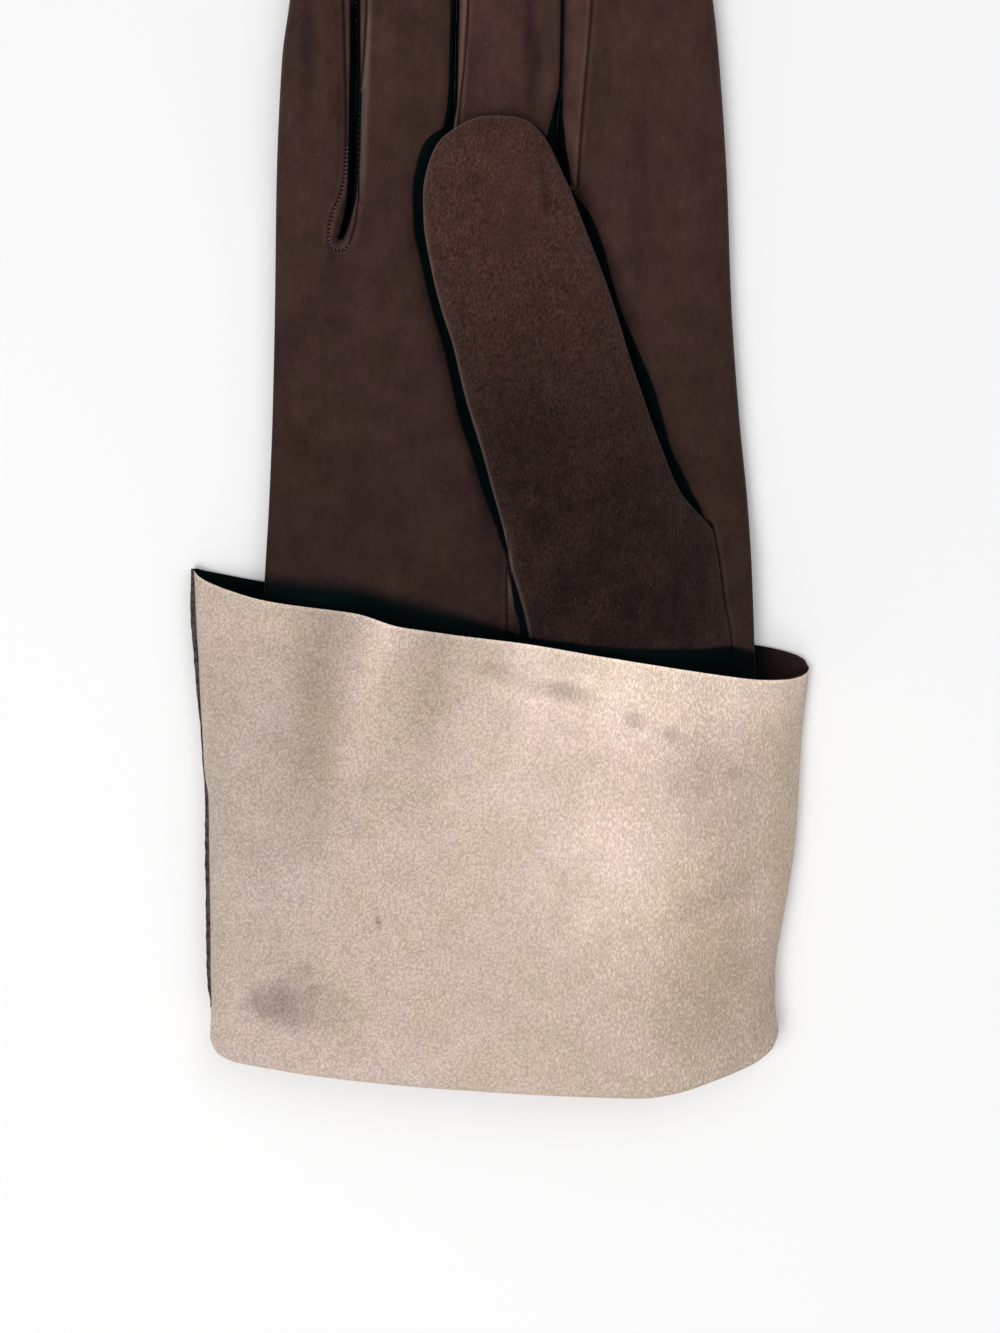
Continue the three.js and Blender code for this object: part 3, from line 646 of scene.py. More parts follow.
def thumb_bed(x, y):
    """How far the palm is pressed down under and beside the thumb."""
    depth = THUMB_BED * smooth(y, *THUMB_BED_FROM) * (1 - smooth(y, *THUMB_BED_TO))
    return depth * bell(max(beside_thumb(x, y), 0), THUMB_BED_FADE)


def palm_height(x, y):
    left, right, crown = PALM.at(y)
    side = SIDE_HEIGHT + back_lift(y)
    off = min(1.0, abs((2 * x - left - right) / (right - left)))
    dome = math.sqrt(1 - off**PALM_FULLNESS)
    wave = piece_wave(x, y, 0.0, PALM_WAVES)
    return side + (crown - side + wave - thumb_bed(x, y)) * dome


def back_height(x, y, left, right):
    inside = max(0.0, min(x - left, right - x))
    return back_lift(y) + SIDE_HEIGHT * (1 - rounded(inside, SIDE_ROUNDING))


def finger_edges(index, y, back=False):
    """Left and right edge of a finger's palm or back panel at a row."""
    sides = []
    neighbours = ((index - 1, "after", 1, "left"), (index, "before", -1, "right"))
    for slit, edge, turn, outer in neighbours:
        if not 0 <= slit < len(SLITS):
            sides.append(PALM.read(outer, y))
            continue
        at = SLITS[slit].read(edge, y)
        if back:
            near = SLITS[slit].read("gap", y) + turn * GAP_HALF
            at = lerp(at, near, smooth(y, CROTCHES[slit] - CROTCH_EASE, CROTCHES[slit]))
        sides.append(at)
    return sides


def finger_crown(index, across):
    """Share of a finger's height above its side, at a place from -1 to 1 across the finger."""
    wrapped = (index == 0 and across < 0) or (index == len(TIPS) - 1 and across > 0)
    if wrapped:
        return math.sqrt(1 - abs(across) ** WRAPPED_FULLNESS)
    slit = (SLIT_HEIGHT - SIDE_HEIGHT) / (FINGER_CROWN - SIDE_HEIGHT)
    return slit + (1 - slit) * (1 - abs(across) ** SLIT_FULLNESS)


def straight_point(index, t, y, back):
    """A point of a panel at a straight row, t from 0 to 1 across the finger's share of it."""
    across = 2 * t - 1
    left, right = finger_edges(index, y, back)
    x = lerp(left, right, t)
    if back:
        outer_left = left if index == 0 else -math.inf
        outer_right = right if index == len(TIPS) - 1 else math.inf
        if y < CROTCHES[0]:
            outer_left, outer_right = PALM.read("left", y), PALM.read("right", y)
        return Vector((x, y, back_height(x, y, outer_left, outer_right)))
    as_finger = smooth(y, CROTCH_BLEND_FROM, CROTCH_BLEND_TO)
    crown = SIDE_HEIGHT + (FINGER_CROWN - SIDE_HEIGHT) * finger_crown(index, across)
    crown += piece_wave(x, y, index * FINGER_PLACES, FINGER_WAVES) * (1 - across**2)
    return Vector((x, y, lerp(palm_height(x, y), crown, as_finger)))


def slit_point(slit, t, y, back):
    """A point of the band below a slit, whose top edge dips in a half round at the crotch."""
    x_before = finger_edges(slit, y, back)[1]
    x_after = finger_edges(slit + 1, y, back)[0]
    x = lerp(x_before, x_after, t)
    if back:
        return Vector((x, y, back_height(x, y, PALM.read("left", y), PALM.read("right", y))))
    dip = CROTCH_DEPTHS[slit] * math.sqrt(1 - (2 * t - 1) ** 2)
    low = y - dip * smooth(y, CROTCHES[slit] - CROTCH_EASE, CROTCHES[slit])
    as_finger = smooth(y, CROTCH_BLEND_FROM, CROTCH_BLEND_TO)
    return Vector((x, low, lerp(palm_height(x, low), SLIT_HEIGHT, as_finger)))


def tip_outline(index, back, across, angle):
    base = TIPS[index] - TIP_ROUNDINGS[index]
    left, right = finger_edges(index, base, back)
    out = math.copysign(math.cos(angle) ** TIP_FULLNESS, across)
    rise = TIP_ROUNDINGS[index] * math.sin(angle) ** TIP_FULLNESS
    return Vector(((left + right) / 2 + (right - left) / 2 * out, base + rise))


def tip_place(index, t, step, back):
    """A point of a fingertip, step from 0 at its last straight row to 1 at its end."""
    across = 2 * t - 1
    base = TIPS[index] - TIP_ROUNDINGS[index]
    start = straight_point(index, t, base, back)
    end = tip_outline(index, back, across, math.pi / 2 - abs(across) * (math.pi / 2 - TIP_CORNER))
    flat = start.to_2d().lerp(end, step)
    for edge in (-1, 1):
        first = tip_outline(index, back, edge, 0)
        last = tip_outline(index, back, edge, TIP_CORNER)
        curve = tip_outline(index, back, edge, step * TIP_CORNER)
        flat += (1 + edge * across) / 2 * (curve - first.lerp(last, step))
    height = math.sqrt(max(0.0, 1 - step**TIP_SECTION))
    return Vector((flat.x, flat.y, lerp(SIDE_HEIGHT, start.z, height)))


def tip_point(index, t, step, back):
    """Palm and back panels draw together towards the end of the tip."""
    own = tip_place(index, t, step, back)
    other = tip_place(index, t, step, not back)
    own.x = lerp(own.x, (own.x + other.x) / 2, step**2)
    return own


def inside_point(start, step, front):
    """A point of the wrist's stretch inside the turned cuff, down to the end near the fold."""
    left, right, _ = PALM.at(WRIST)
    across = (start.x - left) / (right - left)
    end = turned_in(across if front else 2 - across, 1, FOLD_RADIUS * 2 - LEATHER)
    end.y += TURN_GAP
    return start.lerp(end, step)


def hand_point(column, row, back):
    """A point of the hand's outer face at a column and a row of its grid."""
    kind, index, t = column
    form, value = row
    place = slit_point if kind == "slit" else straight_point
    if form == "inside":
        return inside_point(place(index, t, WRIST, back), value, not back)
    if form == "straight":
        return place(index, t, value, back)
    base = TIPS[index] - TIP_ROUNDINGS[index]
    if form == "finger":
        return straight_point(index, t, lerp(CROTCHES[-1], base, value), back)
    return tip_point(index, t, value, back)


def crowded(t, amount):
    """A place from 0 to 1, drawn towards the nearer end."""
    return t - amount * math.sin(2 * math.pi * t) / (2 * math.pi)


def shares(steps):
    """Even shares from 0 to 1."""
    return [step / steps for step in range(steps + 1)]


def hand_columns():
    places = [crowded(t, COLUMN_CROWDING) for t in shares(FINGER_COLUMNS)]
    columns = []
    for index in range(len(TIPS)):
        columns += [("finger", index, t) for t in places]
        if index < len(SLITS):
            columns += [("slit", index, t) for t in shares(SLIT_COLUMNS)[1:-1]]
    return columns


def hand_rows():
    rise = CROTCHES[-1] - CROTCHES[0]
    rows = [("inside", 1 - t) for t in shares(INSIDE_STEPS)[:-1]]
    rows += [("straight", lerp(WRIST, CROTCHES[0], t)) for t in shares(PALM_STEPS)[:-1]]
    rows += [("straight", CROTCHES[0] + rise * t) for t in shares(CROTCH_STEPS)]
    rows += [("finger", t) for t in shares(FINGER_STEPS)[1:]]
    rows += [("tip", t) for t in shares(TIP_STEPS)[1:]]
    return rows


def above_crotch(column, row):
    """Whether a grid point lies in the open slit."""
    kind, index, _ = column
    form, value = row
    if kind != "slit" or form == "inside":
        return False
    return form != "straight" or value > CROTCHES[index] + BARELY


# Each point carries its painted shade, its nearness to a seam, and its painted light and mottling
LAYERS = ("crease", "seam", "light")


def new_mesh():
    """An empty mesh whose points carry their painted shade, nearness to a seam, and painted light and
    mottling.
    """
    mesh = bmesh.new()
    for name in LAYERS:
        mesh.verts.layers.float.new(name)
    return mesh, [mesh.verts.layers.float[name] for name in LAYERS]


def edge_of(width, distance, soft):
    """1 or more within a width, 0 or less beyond it, and even in between, for a finish to sharpen."""
    return 0.5 + (width - distance) / soft


def grid(mesh, columns, rows, place, left_out=None, flip=False):
    """Adds a grid whose points go where place(column, row) says, less those left out."""
    before = set(mesh.verts)
    across, up = len(columns) - 1, len(rows) - 1
    bmesh.ops.create_grid(mesh, x_segments=across, y_segments=up, size=0.5)

    def order(vert):
        return round((vert.co.y + 0.5) * up), round((vert.co.x + 0.5) * across)

    added = sorted([vert for vert in mesh.verts if vert not in before], key=order)
    unwanted = []
    for count, vert in enumerate(added):
        column = columns[count % len(columns)]
        row = rows[count // len(columns)]
        if left_out and left_out(column, row):
            unwanted.append(vert)
        else:
            vert.co = place(column, row)
    faces = {face for vert in added for face in vert.link_faces}
    if flip:
        bmesh.ops.reverse_faces(mesh, faces=list(faces))
    bmesh.ops.delete(mesh, geom=unwanted, context="VERTS")
    return [vert for vert in added if vert.is_valid]


# Thumb hole
def hole_outline():
    """Corner points of the hole in the palm panel, from its lower right round to its lower left."""
    steps = [lerp(HOLE_FROM, HOLE_TO, t) for t in shares(ARCH_STEPS)]
    right = [Vector((HOLE.read("right", y), y - SEAM_GAP)) for y in steps]
    left = [Vector((HOLE.read("left", y), y - SEAM_GAP)) for y in reversed(steps)]
    top = [
        Vector((right[-1].x - HOLE_CORNER, HOLE_TOP)),
        Vector((left[0].x + HOLE_CORNER, HOLE_TOP)),
    ]
    return right + top + left


def in_hole(x, y):
    low = HOLE_FROM - SEAM_GAP
    return low < y < HOLE_TOP and HOLE.read("left", y) < x < HOLE.read("right", y)


def nearest_on(outline, point):
    """The nearest point of a closed outline."""
    best = None
    for first, second in zip(outline, outline[1:] + outline[:1]):
        along = second - first
        t = min(1.0, max(0.0, (point - first).dot(along) / max(along.length_squared, TINY)))
        near = first + along * t
        if best is None or (near - point).length < (best - point).length:
            best = near
    return best


def cut_hole(mesh, front):
    """Opens the thumb hole in the palm panel and draws its edge onto the hole's outline."""
    inside = [vert for vert in front if in_hole(vert.co.x, vert.co.y)]
    rim = {near for vert in inside for face in vert.link_faces for near in face.verts} - set(inside)
    bmesh.ops.delete(mesh, geom=inside, context="VERTS")
    outline = hole_outline()
    for vert in rim:
        near = nearest_on(outline, vert.co.to_2d())
        if vert.is_valid and vert.is_boundary:
            vert.co = Vector((near.x, near.y, palm_height(near.x, near.y)))
    return outline


def slit_distance(slit, point):
    """Distance in plan from a point of the palm side to the open slit, 0 on its edge."""
    y = max(point.y, CROTCHES[slit])
    before = SLITS[slit].read("before", y)
    after = SLITS[slit].read("after", y)
    aside = max(before - point.x, point.x - after, 0.0)
    middle, half = (before + after) / 2, (after - before) / 2
    share = min(1.0, abs(point.x - middle) / half)
    floor = CROTCHES[slit] - CROTCH_DEPTHS[slit] * math.sqrt(1 - share * share)
    return math.hypot(aside, max(0.0, floor - point.y))


def sewn(slit, after, y):
    """Whether a slit's seam shows as a line, and isn't hidden under a rolled edge."""
    if after:
        return slit > 0 or not ROLLED[0] < y < ROLLED[1]
    return slit == 0


def seam_distances(point, outline):
    """Distances from a point of the palm side to the nearest edge and to the nearest seam line."""
    edges, lines = [], [SEAM_REACH]
    for slit in range(len(SLITS)):
        edges.append(slit_distance(slit, point))
        after = point.x > SLITS[slit].read("gap", max(point.y, CROTCHES[slit]))
        if sewn(slit, after, point.y):
            lines.append(edges[-1])
    if HOLE_FROM - HOLE_REACH < point.y < HOLE_TOP + HOLE_REACH:
        flat = point.to_2d()
        edges.append((nearest_on(outline, flat) - flat).length)
        lines.append(edges[-1])
    return min(edges), min(lines)


def gap_distance(point):
    """Distance from a point of the back to the nearest gap between two fingers."""
    distances = [math.inf]
    for slit, crotch in enumerate(CROTCHES):
        y = max(point.y, crotch)
        aside = point.x - SLITS[slit].read("gap", y)
        distances.append(math.hypot(aside, max(0.0, crotch - point.y)))
    return min(distances)


def above_hem(x, y):
    """How far a point lies above the turned cuff's front hem."""
    left, right = CUFF_SIDES.at(y)
    return y - FRONT_HEM.read("y", (x - left) / (right - left))


def hem_shade(x, y):
    """How deep the painted shade is on the palm and thumb in the mouth of the cuff, above its front
    hem.
    """
    return edge_of(HEM_SHADE.read("reach", x), above_hem(x, y), HEM_SHADE.read("soft", x))


def band_shade(x, y):
    """How deep the painted shade is on the palm beside the thumb."""
    left, right = thumb_sides(min(y, THUMB.rows[-1][0]))
    before = edge_of(BANDS.read("left", y), left - x, BAND_SOFT[0])
    after = edge_of(BANDS.read("right", y), x - right, BAND_SOFT[1])
    return min(before, after, edge_of(0, y - BAND_TOP, BAND_SOFT[1]))


def by_line(x, y, start, end, half):
    """How near a place is to a soft line, from 0 to 1, and its share of the way down the line."""
    t = min(1.0, max(0.0, (y - start[1]) / (end[1] - start[1])))
    return bell(x - lerp(start[0], end[0], t), half), t


def streak_light(x, y):
    total = 0.0
    for start, end, light, half in STREAKS:
        near, t = by_line(x, y, start, end, half)
        total += light * near * math.sin(math.pi * t) ** STREAK_ENDS
    return total


def build_hand():
    """Palm and back panels with four fingers, open at the wrist, the slits and the thumb hole."""
    mesh, (crease, seam, light) = new_mesh()
    columns, rows = hand_columns(), hand_rows()
    front = grid(mesh, columns, rows, lambda c, r: hand_point(c, r, False), above_crotch)
    outline = cut_hole(mesh, front)
    for vert in front:
        if not vert.is_valid:
            continue
        x, y = vert.co.x, vert.co.y
        edge, line = seam_distances(vert.co, outline)
        vert.co.z -= edge_drop(edge)
        # Painted shade beside the thumb, in the cuff's mouth and along the rolled edges at the slits
        shades = [band_shade(x, y), hem_shade(x, y)]
        if line > edge:
            shades.append(edge_of(ROLLED_DARK, edge, SLOT_SOFT))
        mouth = edge_of(MOUTH_DEPTH, -above_hem(x, y), MOUTH_SOFT)
        vert[crease] = min(max(shades), mouth)
        vert[seam] = max(0.0, SEAM_REACH - line)
        vert[light] = streak_light(x, y)
    back = grid(mesh, columns, rows, lambda c, r: hand_point(c, r, True), above_crotch, flip=True)
    for vert in back:
        distance = gap_distance(vert.co)
        vert.co.z += edge_drop(distance)
        vert[seam] = max(0.0, SEAM_REACH - distance)
    bmesh.ops.remove_doubles(mesh, verts=mesh.verts, dist=WELD)
    return mesh


# Strips between the fingers: how full each strip's section is on its first and second side, and
# between which widths it comes to dip at its seam as a wide one does
STRIP_FULLNESS = ((2.2, 2.6), (2.2, 2.8), (2.2, 3.4))
STRIP_WIDE = (0.6, 2.2)

# The slots' painted shade: where it ends towards the fingertips and how softly, how softly it ends
# at the crotch and at a tip's rounding, and how deep it is on a side that is painted dark all over
SLOT_FADE = (93, 16)
SLOT_CROTCH_SOFT = 0.8
SLOT_TIP_SOFT = 3
SLOT_DEEPEST = 2.0

# Where painted shade starts on the wall at a crotch on its way down, and how softly
WALL_DARK = (0.8, 0.2)

# How much lighter or darker each strip is on its first and second side, and its mottling
STRIP_LIGHT = ((-0.3, -0.1), (-0.2, 0.3), (-0.2, 0.06))
STRIP_MOTTLE = 0.35
STRIP_MOTTLE_LENGTH = 0.9


def strip_stations(slit):
    """Palm edge, back edge and fullness at each place along a strip, round the crotch."""
    legs = [row for row in hand_rows() if above_crotch(("slit", slit, 0), row)]
    stations = []
    for row in reversed(legs):
        top, low = (hand_point(("finger", slit, 1), row, back) for back in (False, True))
        stations.append((top, low, 0.0))
    for t in shares(2 * SLIT_COLUMNS):
        top, low = (slit_point(slit, t, CROTCHES[slit], back) for back in (False, True))
        low.y += GAP_END
        stations.append((top, low, t))
    for row in legs:
        top, low = (hand_point(("finger", slit + 1, 0), row, back) for back in (False, True))
        stations.append((top, low, 1.0))
    return stations


def edge_drop(distance):
    """How far the leather's face dips towards a seam, at a distance from it."""
    return SEAM_DROP * (1 - rounded(distance, SEAM_ROLL))


def strip_point(slit, station, down):
    """A point of a strip, from its seam with the panel at 0 down to the back at 1."""
    top, low, side = station
    fullness = 2 / lerp(*STRIP_FULLNESS[slit], side)
    angle = down * math.pi / 2
    out, drop = math.sin(angle) ** fullness, 1 - math.cos(angle) ** fullness
    wide = smooth((low - top).to_2d().length, *STRIP_WIDE)
    dip = edge_drop(slit_distance(slit, top))
    height = lerp(top.z - dip * (1 - wide), low.z + edge_drop(gap_distance(low)), drop)
    point = Vector((lerp(top.x, low.x, out), lerp(top.y, low.y, out), height))
    point.z -= dip * wide * (1 - rounded((point - top).length, SEAM_ROLL))
    ripple = waves(point.x * RIPPLE_TIGHT, point.y, slit * STRIP_PLACES, length=RIPPLE_LENGTH)
    point.z += STRIP_RIPPLE * ripple * math.sin(angle * 2) * wide
    return point


def strip_shade(slit, point, side, down):
    """How deep a strip's point lies in painted shade: in the slot over the gap and down the wall at
    the crotch.
    """
    finger = slit if side < 0.5 else slit + 1
    end, soft = SLOT_FADE
    below_tip = edge_of(0, point.y - TIPS[finger] + TIP_ROUNDINGS[finger], SLOT_TIP_SOFT)
    below_tip = min(below_tip, edge_of(0, point.y - end, soft))
    if side == 0 and slit > 0:
        return min(SLOT_DEEPEST, below_tip)
    y = max(point.y, CROTCHES[slit] - CROTCH_DEPTHS[slit])
    aside = abs(point.x - SLITS[slit].read("gap", max(y, CROTCHES[slit])))
    in_slot = edge_of(SLITS[slit].read("slot", y) + SLOT_MORE, aside, SLOT_SOFT)
    in_slot = min(in_slot, below_tip, edge_of(0, CROTCHES[slit] - point.y, SLOT_CROTCH_SOFT))
    wall, soft = WALL_DARK
    return max(in_slot, edge_of(-wall, -down, soft)) if 0 < side < 1 else in_slot


def build_strip(slit):
    """A narrow strip sewn between two fingers: down one side, round the crotch and up the other."""
    mesh, (crease, seam, light) = new_mesh()
    stations = strip_stations(slit)
    steps = shares(STRIP_COLUMNS)
    verts = grid(mesh, steps, stations, lambda down, at: strip_point(slit, at, down), flip=True)
    for count, vert in enumerate(verts):
        top, _, side = stations[count // len(steps)]
        vert[crease] = strip_shade(slit, vert.co, side, steps[count % len(steps)])
        vert[light] = STRIP_LIGHT[slit][0 if side < 0.5 else 1]
        if 0 < side < 1 or top.y < ROLLED[0]:
            vert[light] += STRIP_MOTTLE * waves(vert.co.x, vert.co.y, length=STRIP_MOTTLE_LENGTH)
        if sewn(slit, side > 0.5, top.y):
            vert[seam] = max(0.0, SEAM_REACH - (vert.co - top).to_2d().length)
    bmesh.ops.remove_doubles(mesh, verts=mesh.verts, dist=WELD)
    return mesh


# Thumb
def thumb_rise(across, slope):
    off = abs(2 * across - 1)
    dome = math.sqrt(max(0.0, 1 - off**THUMB_FULLNESS))
    if across < 0.5:
        return dome
    return lerp(dome, max(0.0, 1 - off**THUMB_SLOPE_FULLNESS) ** THUMB_SLOPE_POWER, slope)


def over_stations():
    """Places across the thumb's top, closer together towards its sides."""
    return [(1 - math.cos(math.pi * t)) / 2 for t in shares(THUMB_COLUMNS)]


def refined(points, last):
    """Points with more between them on the way to the last one, closest together next to it."""
    filled = []
    for first, second, places in zip(points, (*points[1:], last), SECTION_SHARES):
        filled += [(lerp(first[0], second[0], t), lerp(first[1], second[1], t)) for t in places]
    return filled


def thumb_section(y):
    """A closed section of the thumb: up the left side, over the top and down the right side."""
    left, right, bottom, top, flare = THUMB.at(y)

    def rest(x):
        return min(bottom, palm_height(x, y) + THUMB_CLEARANCE)

    middle = lerp(bottom, top, THUMB_MIDDLE)
    right_middle = lerp(middle, rest(right) + THUMB_CLEARANCE, flare)
    corner = min(THUMB_CORNER_MOST, (right - left) * THUMB_CORNER_SHARE)
    right_corner = lerp(corner, THUMB_CLEARANCE, flare)
    out, up = THUMB_UNDERCUT
    over = []
    for across in over_stations():
        floor = middle if across < 0.5 else right_middle
        over.append((lerp(left, right, across), floor + (top - floor) * thumb_rise(across, flare)))
    section = [
        (left + corner, rest(left + corner)),
        (left + corner * out, lerp(rest(left), middle, up)),
    ]
    section = refined(section, over[0]) + over
    section += [
        (right - right_corner * out, lerp(rest(right), right_middle, up)),
        (right - right_corner, rest(right - right_corner)),
    ]
    under = []
    for step in range(1, THUMB_UNDER_COLUMNS):
        x = lerp(right - right_corner, left + corner, step / THUMB_UNDER_COLUMNS)
        under.append((x, rest(x)))
    return [Vector((x, y, z)) for x, z in section], [Vector((x, y, z)) for x, z in under]


def arch_section(y):
    """The thumb's arch over its hole, from the left seam over the rolled edge to the right seam."""
    hole_left, hole_right, roll, top = HOLE.at(y)
    left, right = hole_left + SEAM_GAP, hole_right - SEAM_GAP
    low = palm_height(left, y) - RIM_DEPTH
    flush = palm_height(right, y)
    middle = lerp(palm_height(roll, y), top, ARCH_MIDDLE)
    along, out, up = ARCH_RISE
    over = []
    for across in over_stations():
        floor = middle if across < 0.5 else flush
        over.append((lerp(roll, right, across), floor + (top - floor) * thumb_rise(across, 1)))
    section = [(left, low), (lerp(left, roll, along) + out, lerp(low, middle, up))]
    section = refined(section, over[0]) + over
    last_x, last_z = section[-1]
    section += [(last_x + aside, last_z - drop) for aside, drop in RIM_TURN]
    return [Vector((x, y, z)) for x, z in section]


def thumb_rows():
    low, high = THUMB.rows[0][0], THUMB.rows[-1][0]
    rows = [("arch", lerp(HOLE_FROM, HOLE_TO, t)) for t in shares(ARCH_STEPS)]
    rows += [("stall", lerp(low, high, t)) for t in shares(THUMB_STEPS)]
    return rows


def close_tip(mesh, ring):
    """Draws the open end of the stall, whose edge runs through the ring, together at the tip."""

    def on_ring(vert):
        return any((vert.co - point).length < RING_REACH for point in ring)

    end = {vert for vert in mesh.verts if on_ring(vert)}
    edges = [edge for edge in mesh.edges if edge.is_boundary and end.issuperset(edge.verts)]
    cap = bmesh.ops.extrude_edge_only(mesh, edges=edges)
    apex = [item for item in cap["geom"] if isinstance(item, bmesh.types.BMVert)]
    bmesh.ops.pointmerge(mesh, verts=apex, merge_co=THUMB_TIP)


def build_thumb():
    """A stall closed at the tip, whose lower end arches over the hole in the palm."""
    mesh, (crease, seam, light) = new_mesh()
    rows = thumb_rows()
    sections = {}
    for row in rows:
        form, y = row
        sections[row] = (arch_section(y), []) if form == "arch" else thumb_section(y)
    top_columns = range(len(sections[rows[0]][0]))
    top_verts = grid(mesh, top_columns, rows, lambda column, row: sections[row][0][column])
    for vert in mesh.verts:
        vert[crease] = -1.0
    for vert in top_verts:
        if vert.co.y < HOLE_TO:
            vert[crease] = roll_shade(vert.co.x, vert.co.y)
    stall = [row for row in rows if row[0] == "stall"]

    def underside(column, row):
        over, under = sections[row]
        return ([over[-1]] + under + [over[0]])[column]

    grid(mesh, range(THUMB_UNDER_COLUMNS + 1), stall, underside)
    over, under = sections[stall[-1]]
    bmesh.ops.remove_doubles(mesh, verts=mesh.verts, dist=WELD)
    close_tip(mesh, over + under)
    inner = [vert for vert in mesh.verts if not vert.is_boundary]
    every_way = {"use_axis_x": True, "use_axis_y": True, "use_axis_z": True}
    for _ in range(THUMB_SMOOTHINGS):
        bmesh.ops.smooth_vert(mesh, verts=inner, factor=0.5, **every_way)
    for vert in mesh.verts:
        vert.co += vert.normal * piece_wave(vert.co.x, vert.co.y, THUMB_PLACE, THUMB_WAVES)
        # Painted shade under the thumb's overhanging sides and in the cuff's mouth
        overhang = OVERHANG_DARK * max(0.0, -vert.normal.z) - OVERHANG_FROM
        vert[crease] = max(vert[crease], overhang, hem_shade(vert.co.x, vert.co.y))
        rim = min((vert.co - end).to_2d().length for end in seam_ends(sections, vert.co.y))
        vert[seam] = max(0.0, SEAM_REACH - rim)
        # Painted highlight on the thumb's steep sides, strongest where they face the rim's way
        facing = Vector((-vert.normal.x, vert.normal.y)).dot(RIM_WAY)
        facing = max(RIM_LEAST, min(1.0, facing + RIM_MORE))
        vert[light] = RIM_LIGHT * smooth(vert.normal.z, *RIM_SLOPES) * facing
    return mesh


def roll_shade(x, y):
    """Painted shade along the fold where the thumb's leather turns under along the left of its arch.
    """
    half = lerp(*ROLL_HALF, smooth(y, ROLL_FROM, ROLL_TO))
    aside = abs(x - HOLE.read("roll", y) + half)
    return min(edge_of(half, aside, ROLL_SOFT), edge_of(0, y - ROLL_FROM, ROLL_START_SOFT))


def seam_ends(sections, y):
    """The two ends of the arch's section nearest to a row."""
    arches = [row for row in sections if row[0] == "arch"]
    if y > HOLE_TOP:
        return [Vector((math.inf, 0, 0))]
    row = min(arches, key=lambda arch: abs(arch[1] - y))
    return [sections[row][0][0], sections[row][0][-1]]


# Turned cuff
def cuff_folds(x, y):
    total = 0.0
    for start, end, height, half in CUFF_FOLDS:
        near, t = by_line(x, y, start, end, half)
        total += height * near * (1 - t * t)
    return total


def cuff_flat(around, down):
    """A point of the cuff before it is drawn inwards, as cuff_point has it."""
    place = around % 2
    front = place <= 1
    across = place if front else 2 - place
    fold = FOLD.read("y", across) + FOLD_RADIUS
    y = lerp((FRONT_HEM if front else BACK_HEM).read("y", across), fold, down)

    def edge_y(edge):
        return lerp(FRONT_HEM.read("y", edge), FOLD.read("y", edge) + FOLD_RADIUS, down)

    left = CUFF_SIDES.read("left", edge_y(0))
    right = CUFF_SIDES.read("right", edge_y(1))
    x = lerp(left, right, across)
    side = lerp(*CUFF_SIDE_HEIGHT, down)
    nose = rounded(min(across, 1 - across) * (right - left), CUFF_NOSE)
    if not front:
        return Vector((x, y, side * (1 - nose)))
    drape = lerp(FRONT_HEM.read("height", across), FOLD.read("height", across), down)
    wave = sum(part * waves(x, y, z, length=length) for part, z, length in CUFF_WAVES)
    wave *= in_mm("wave")
    return Vector((x, y, side + (drape + cuff_folds(x, y) + wave - side) * nose))


def cuff_point(around, down, inset=0.0):
    """A point of the cuff: around from 0 to 1 across the front and on to 2 back across the back."""
    point = cuff_flat(around, down)
    if inset:
        along = cuff_flat(around + CUFF_NEAR, down) - cuff_flat(around - CUFF_NEAR, down)
        point -= inset * Vector((-along.z, 0, along.x)).normalized()
    return point


def turned_in(around, share, inset):
    """The leather inside the fold, from the fold at 0 to the end of the turned-in stretch at 1."""
    point = cuff_point(around, 1, inset)
    end = lerp(*TURN_END, around if around <= 1 else 2 - around)
    return Vector((point.x * lerp(1, TURN_NARROWING, share), lerp(point.y, end, share), point.z))


def cuff_place(around, row):
    form, value = row
    if form == "down":
        return cuff_point(around, value)
    if form == "turn":
        return turned_in(around, value, FOLD_RADIUS * 2)
    angle = math.pi * value
    point = cuff_point(around, 1, FOLD_RADIUS * (1 - math.cos(angle)))
    point.y -= FOLD_RADIUS * math.sin(angle)
    return point


def cuff_columns():
    """Places round the cuff, closer together at its two sides."""
    return [crowded(2 * t, CUFF_CROWDING[0]) for t in shares(CUFF_COLUMNS)]


def build_cuff():
    """The turned cuff: its cream face runs from the hem down to the fold and on into the wrist."""
    mesh, (crease, seam, light) = new_mesh()
    columns = cuff_columns()
    rows = [("down", crowded(t / 2, CUFF_CROWDING[1]) * 2) for t in shares(CUFF_STEPS)]
    rows += [("fold", t) for t in shares(FOLD_STEPS)[1:]]
    rows += [("turn", t) for t in shares(TURN_STEPS)[1:]]
    verts = grid(mesh, columns, rows, cuff_place, flip=True)
    for count, vert in enumerate(verts):
        around = columns[count % len(columns)]
        hem = verts[count % len(columns)].co
        if rows[count // len(columns)][0] == "down":
            vert[crease] = lerp(*INSIDE_SHADE, smooth(vert.co.x, *INSIDE_CHANGE))
        if around <= 1:
            vert[seam] = max(0.0, SEAM_REACH - (vert.co - hem).length)
            vert[light] = FOLD_PAINTED_LIGHT * cuff_folds(vert.co.x, vert.co.y)
    bmesh.ops.remove_doubles(mesh, verts=mesh.verts, dist=CUFF_WELD)
    return mesh


# Side seam: heights of its two plies, grid steps, how far it is tucked under the cuff's edge, how
# far down the cuff it goes, how ragged and wavy it is, and its places in the random pattern
SEAM_PLIES = (0.2, -0.45)
SEAM_STEPS = 160
SEAM_OUT_STEPS = 3
SEAM_TUCK = 0.2
SEAM_END = 0.935
SEAM_RAGGED = 0.25
SEAM_LIFT = 0.15
PLY_PLACES = 9
LIFT_PLACE = 20.0


def seam_downs():
    return [SEAM_END * t for t in shares(SEAM_STEPS)]


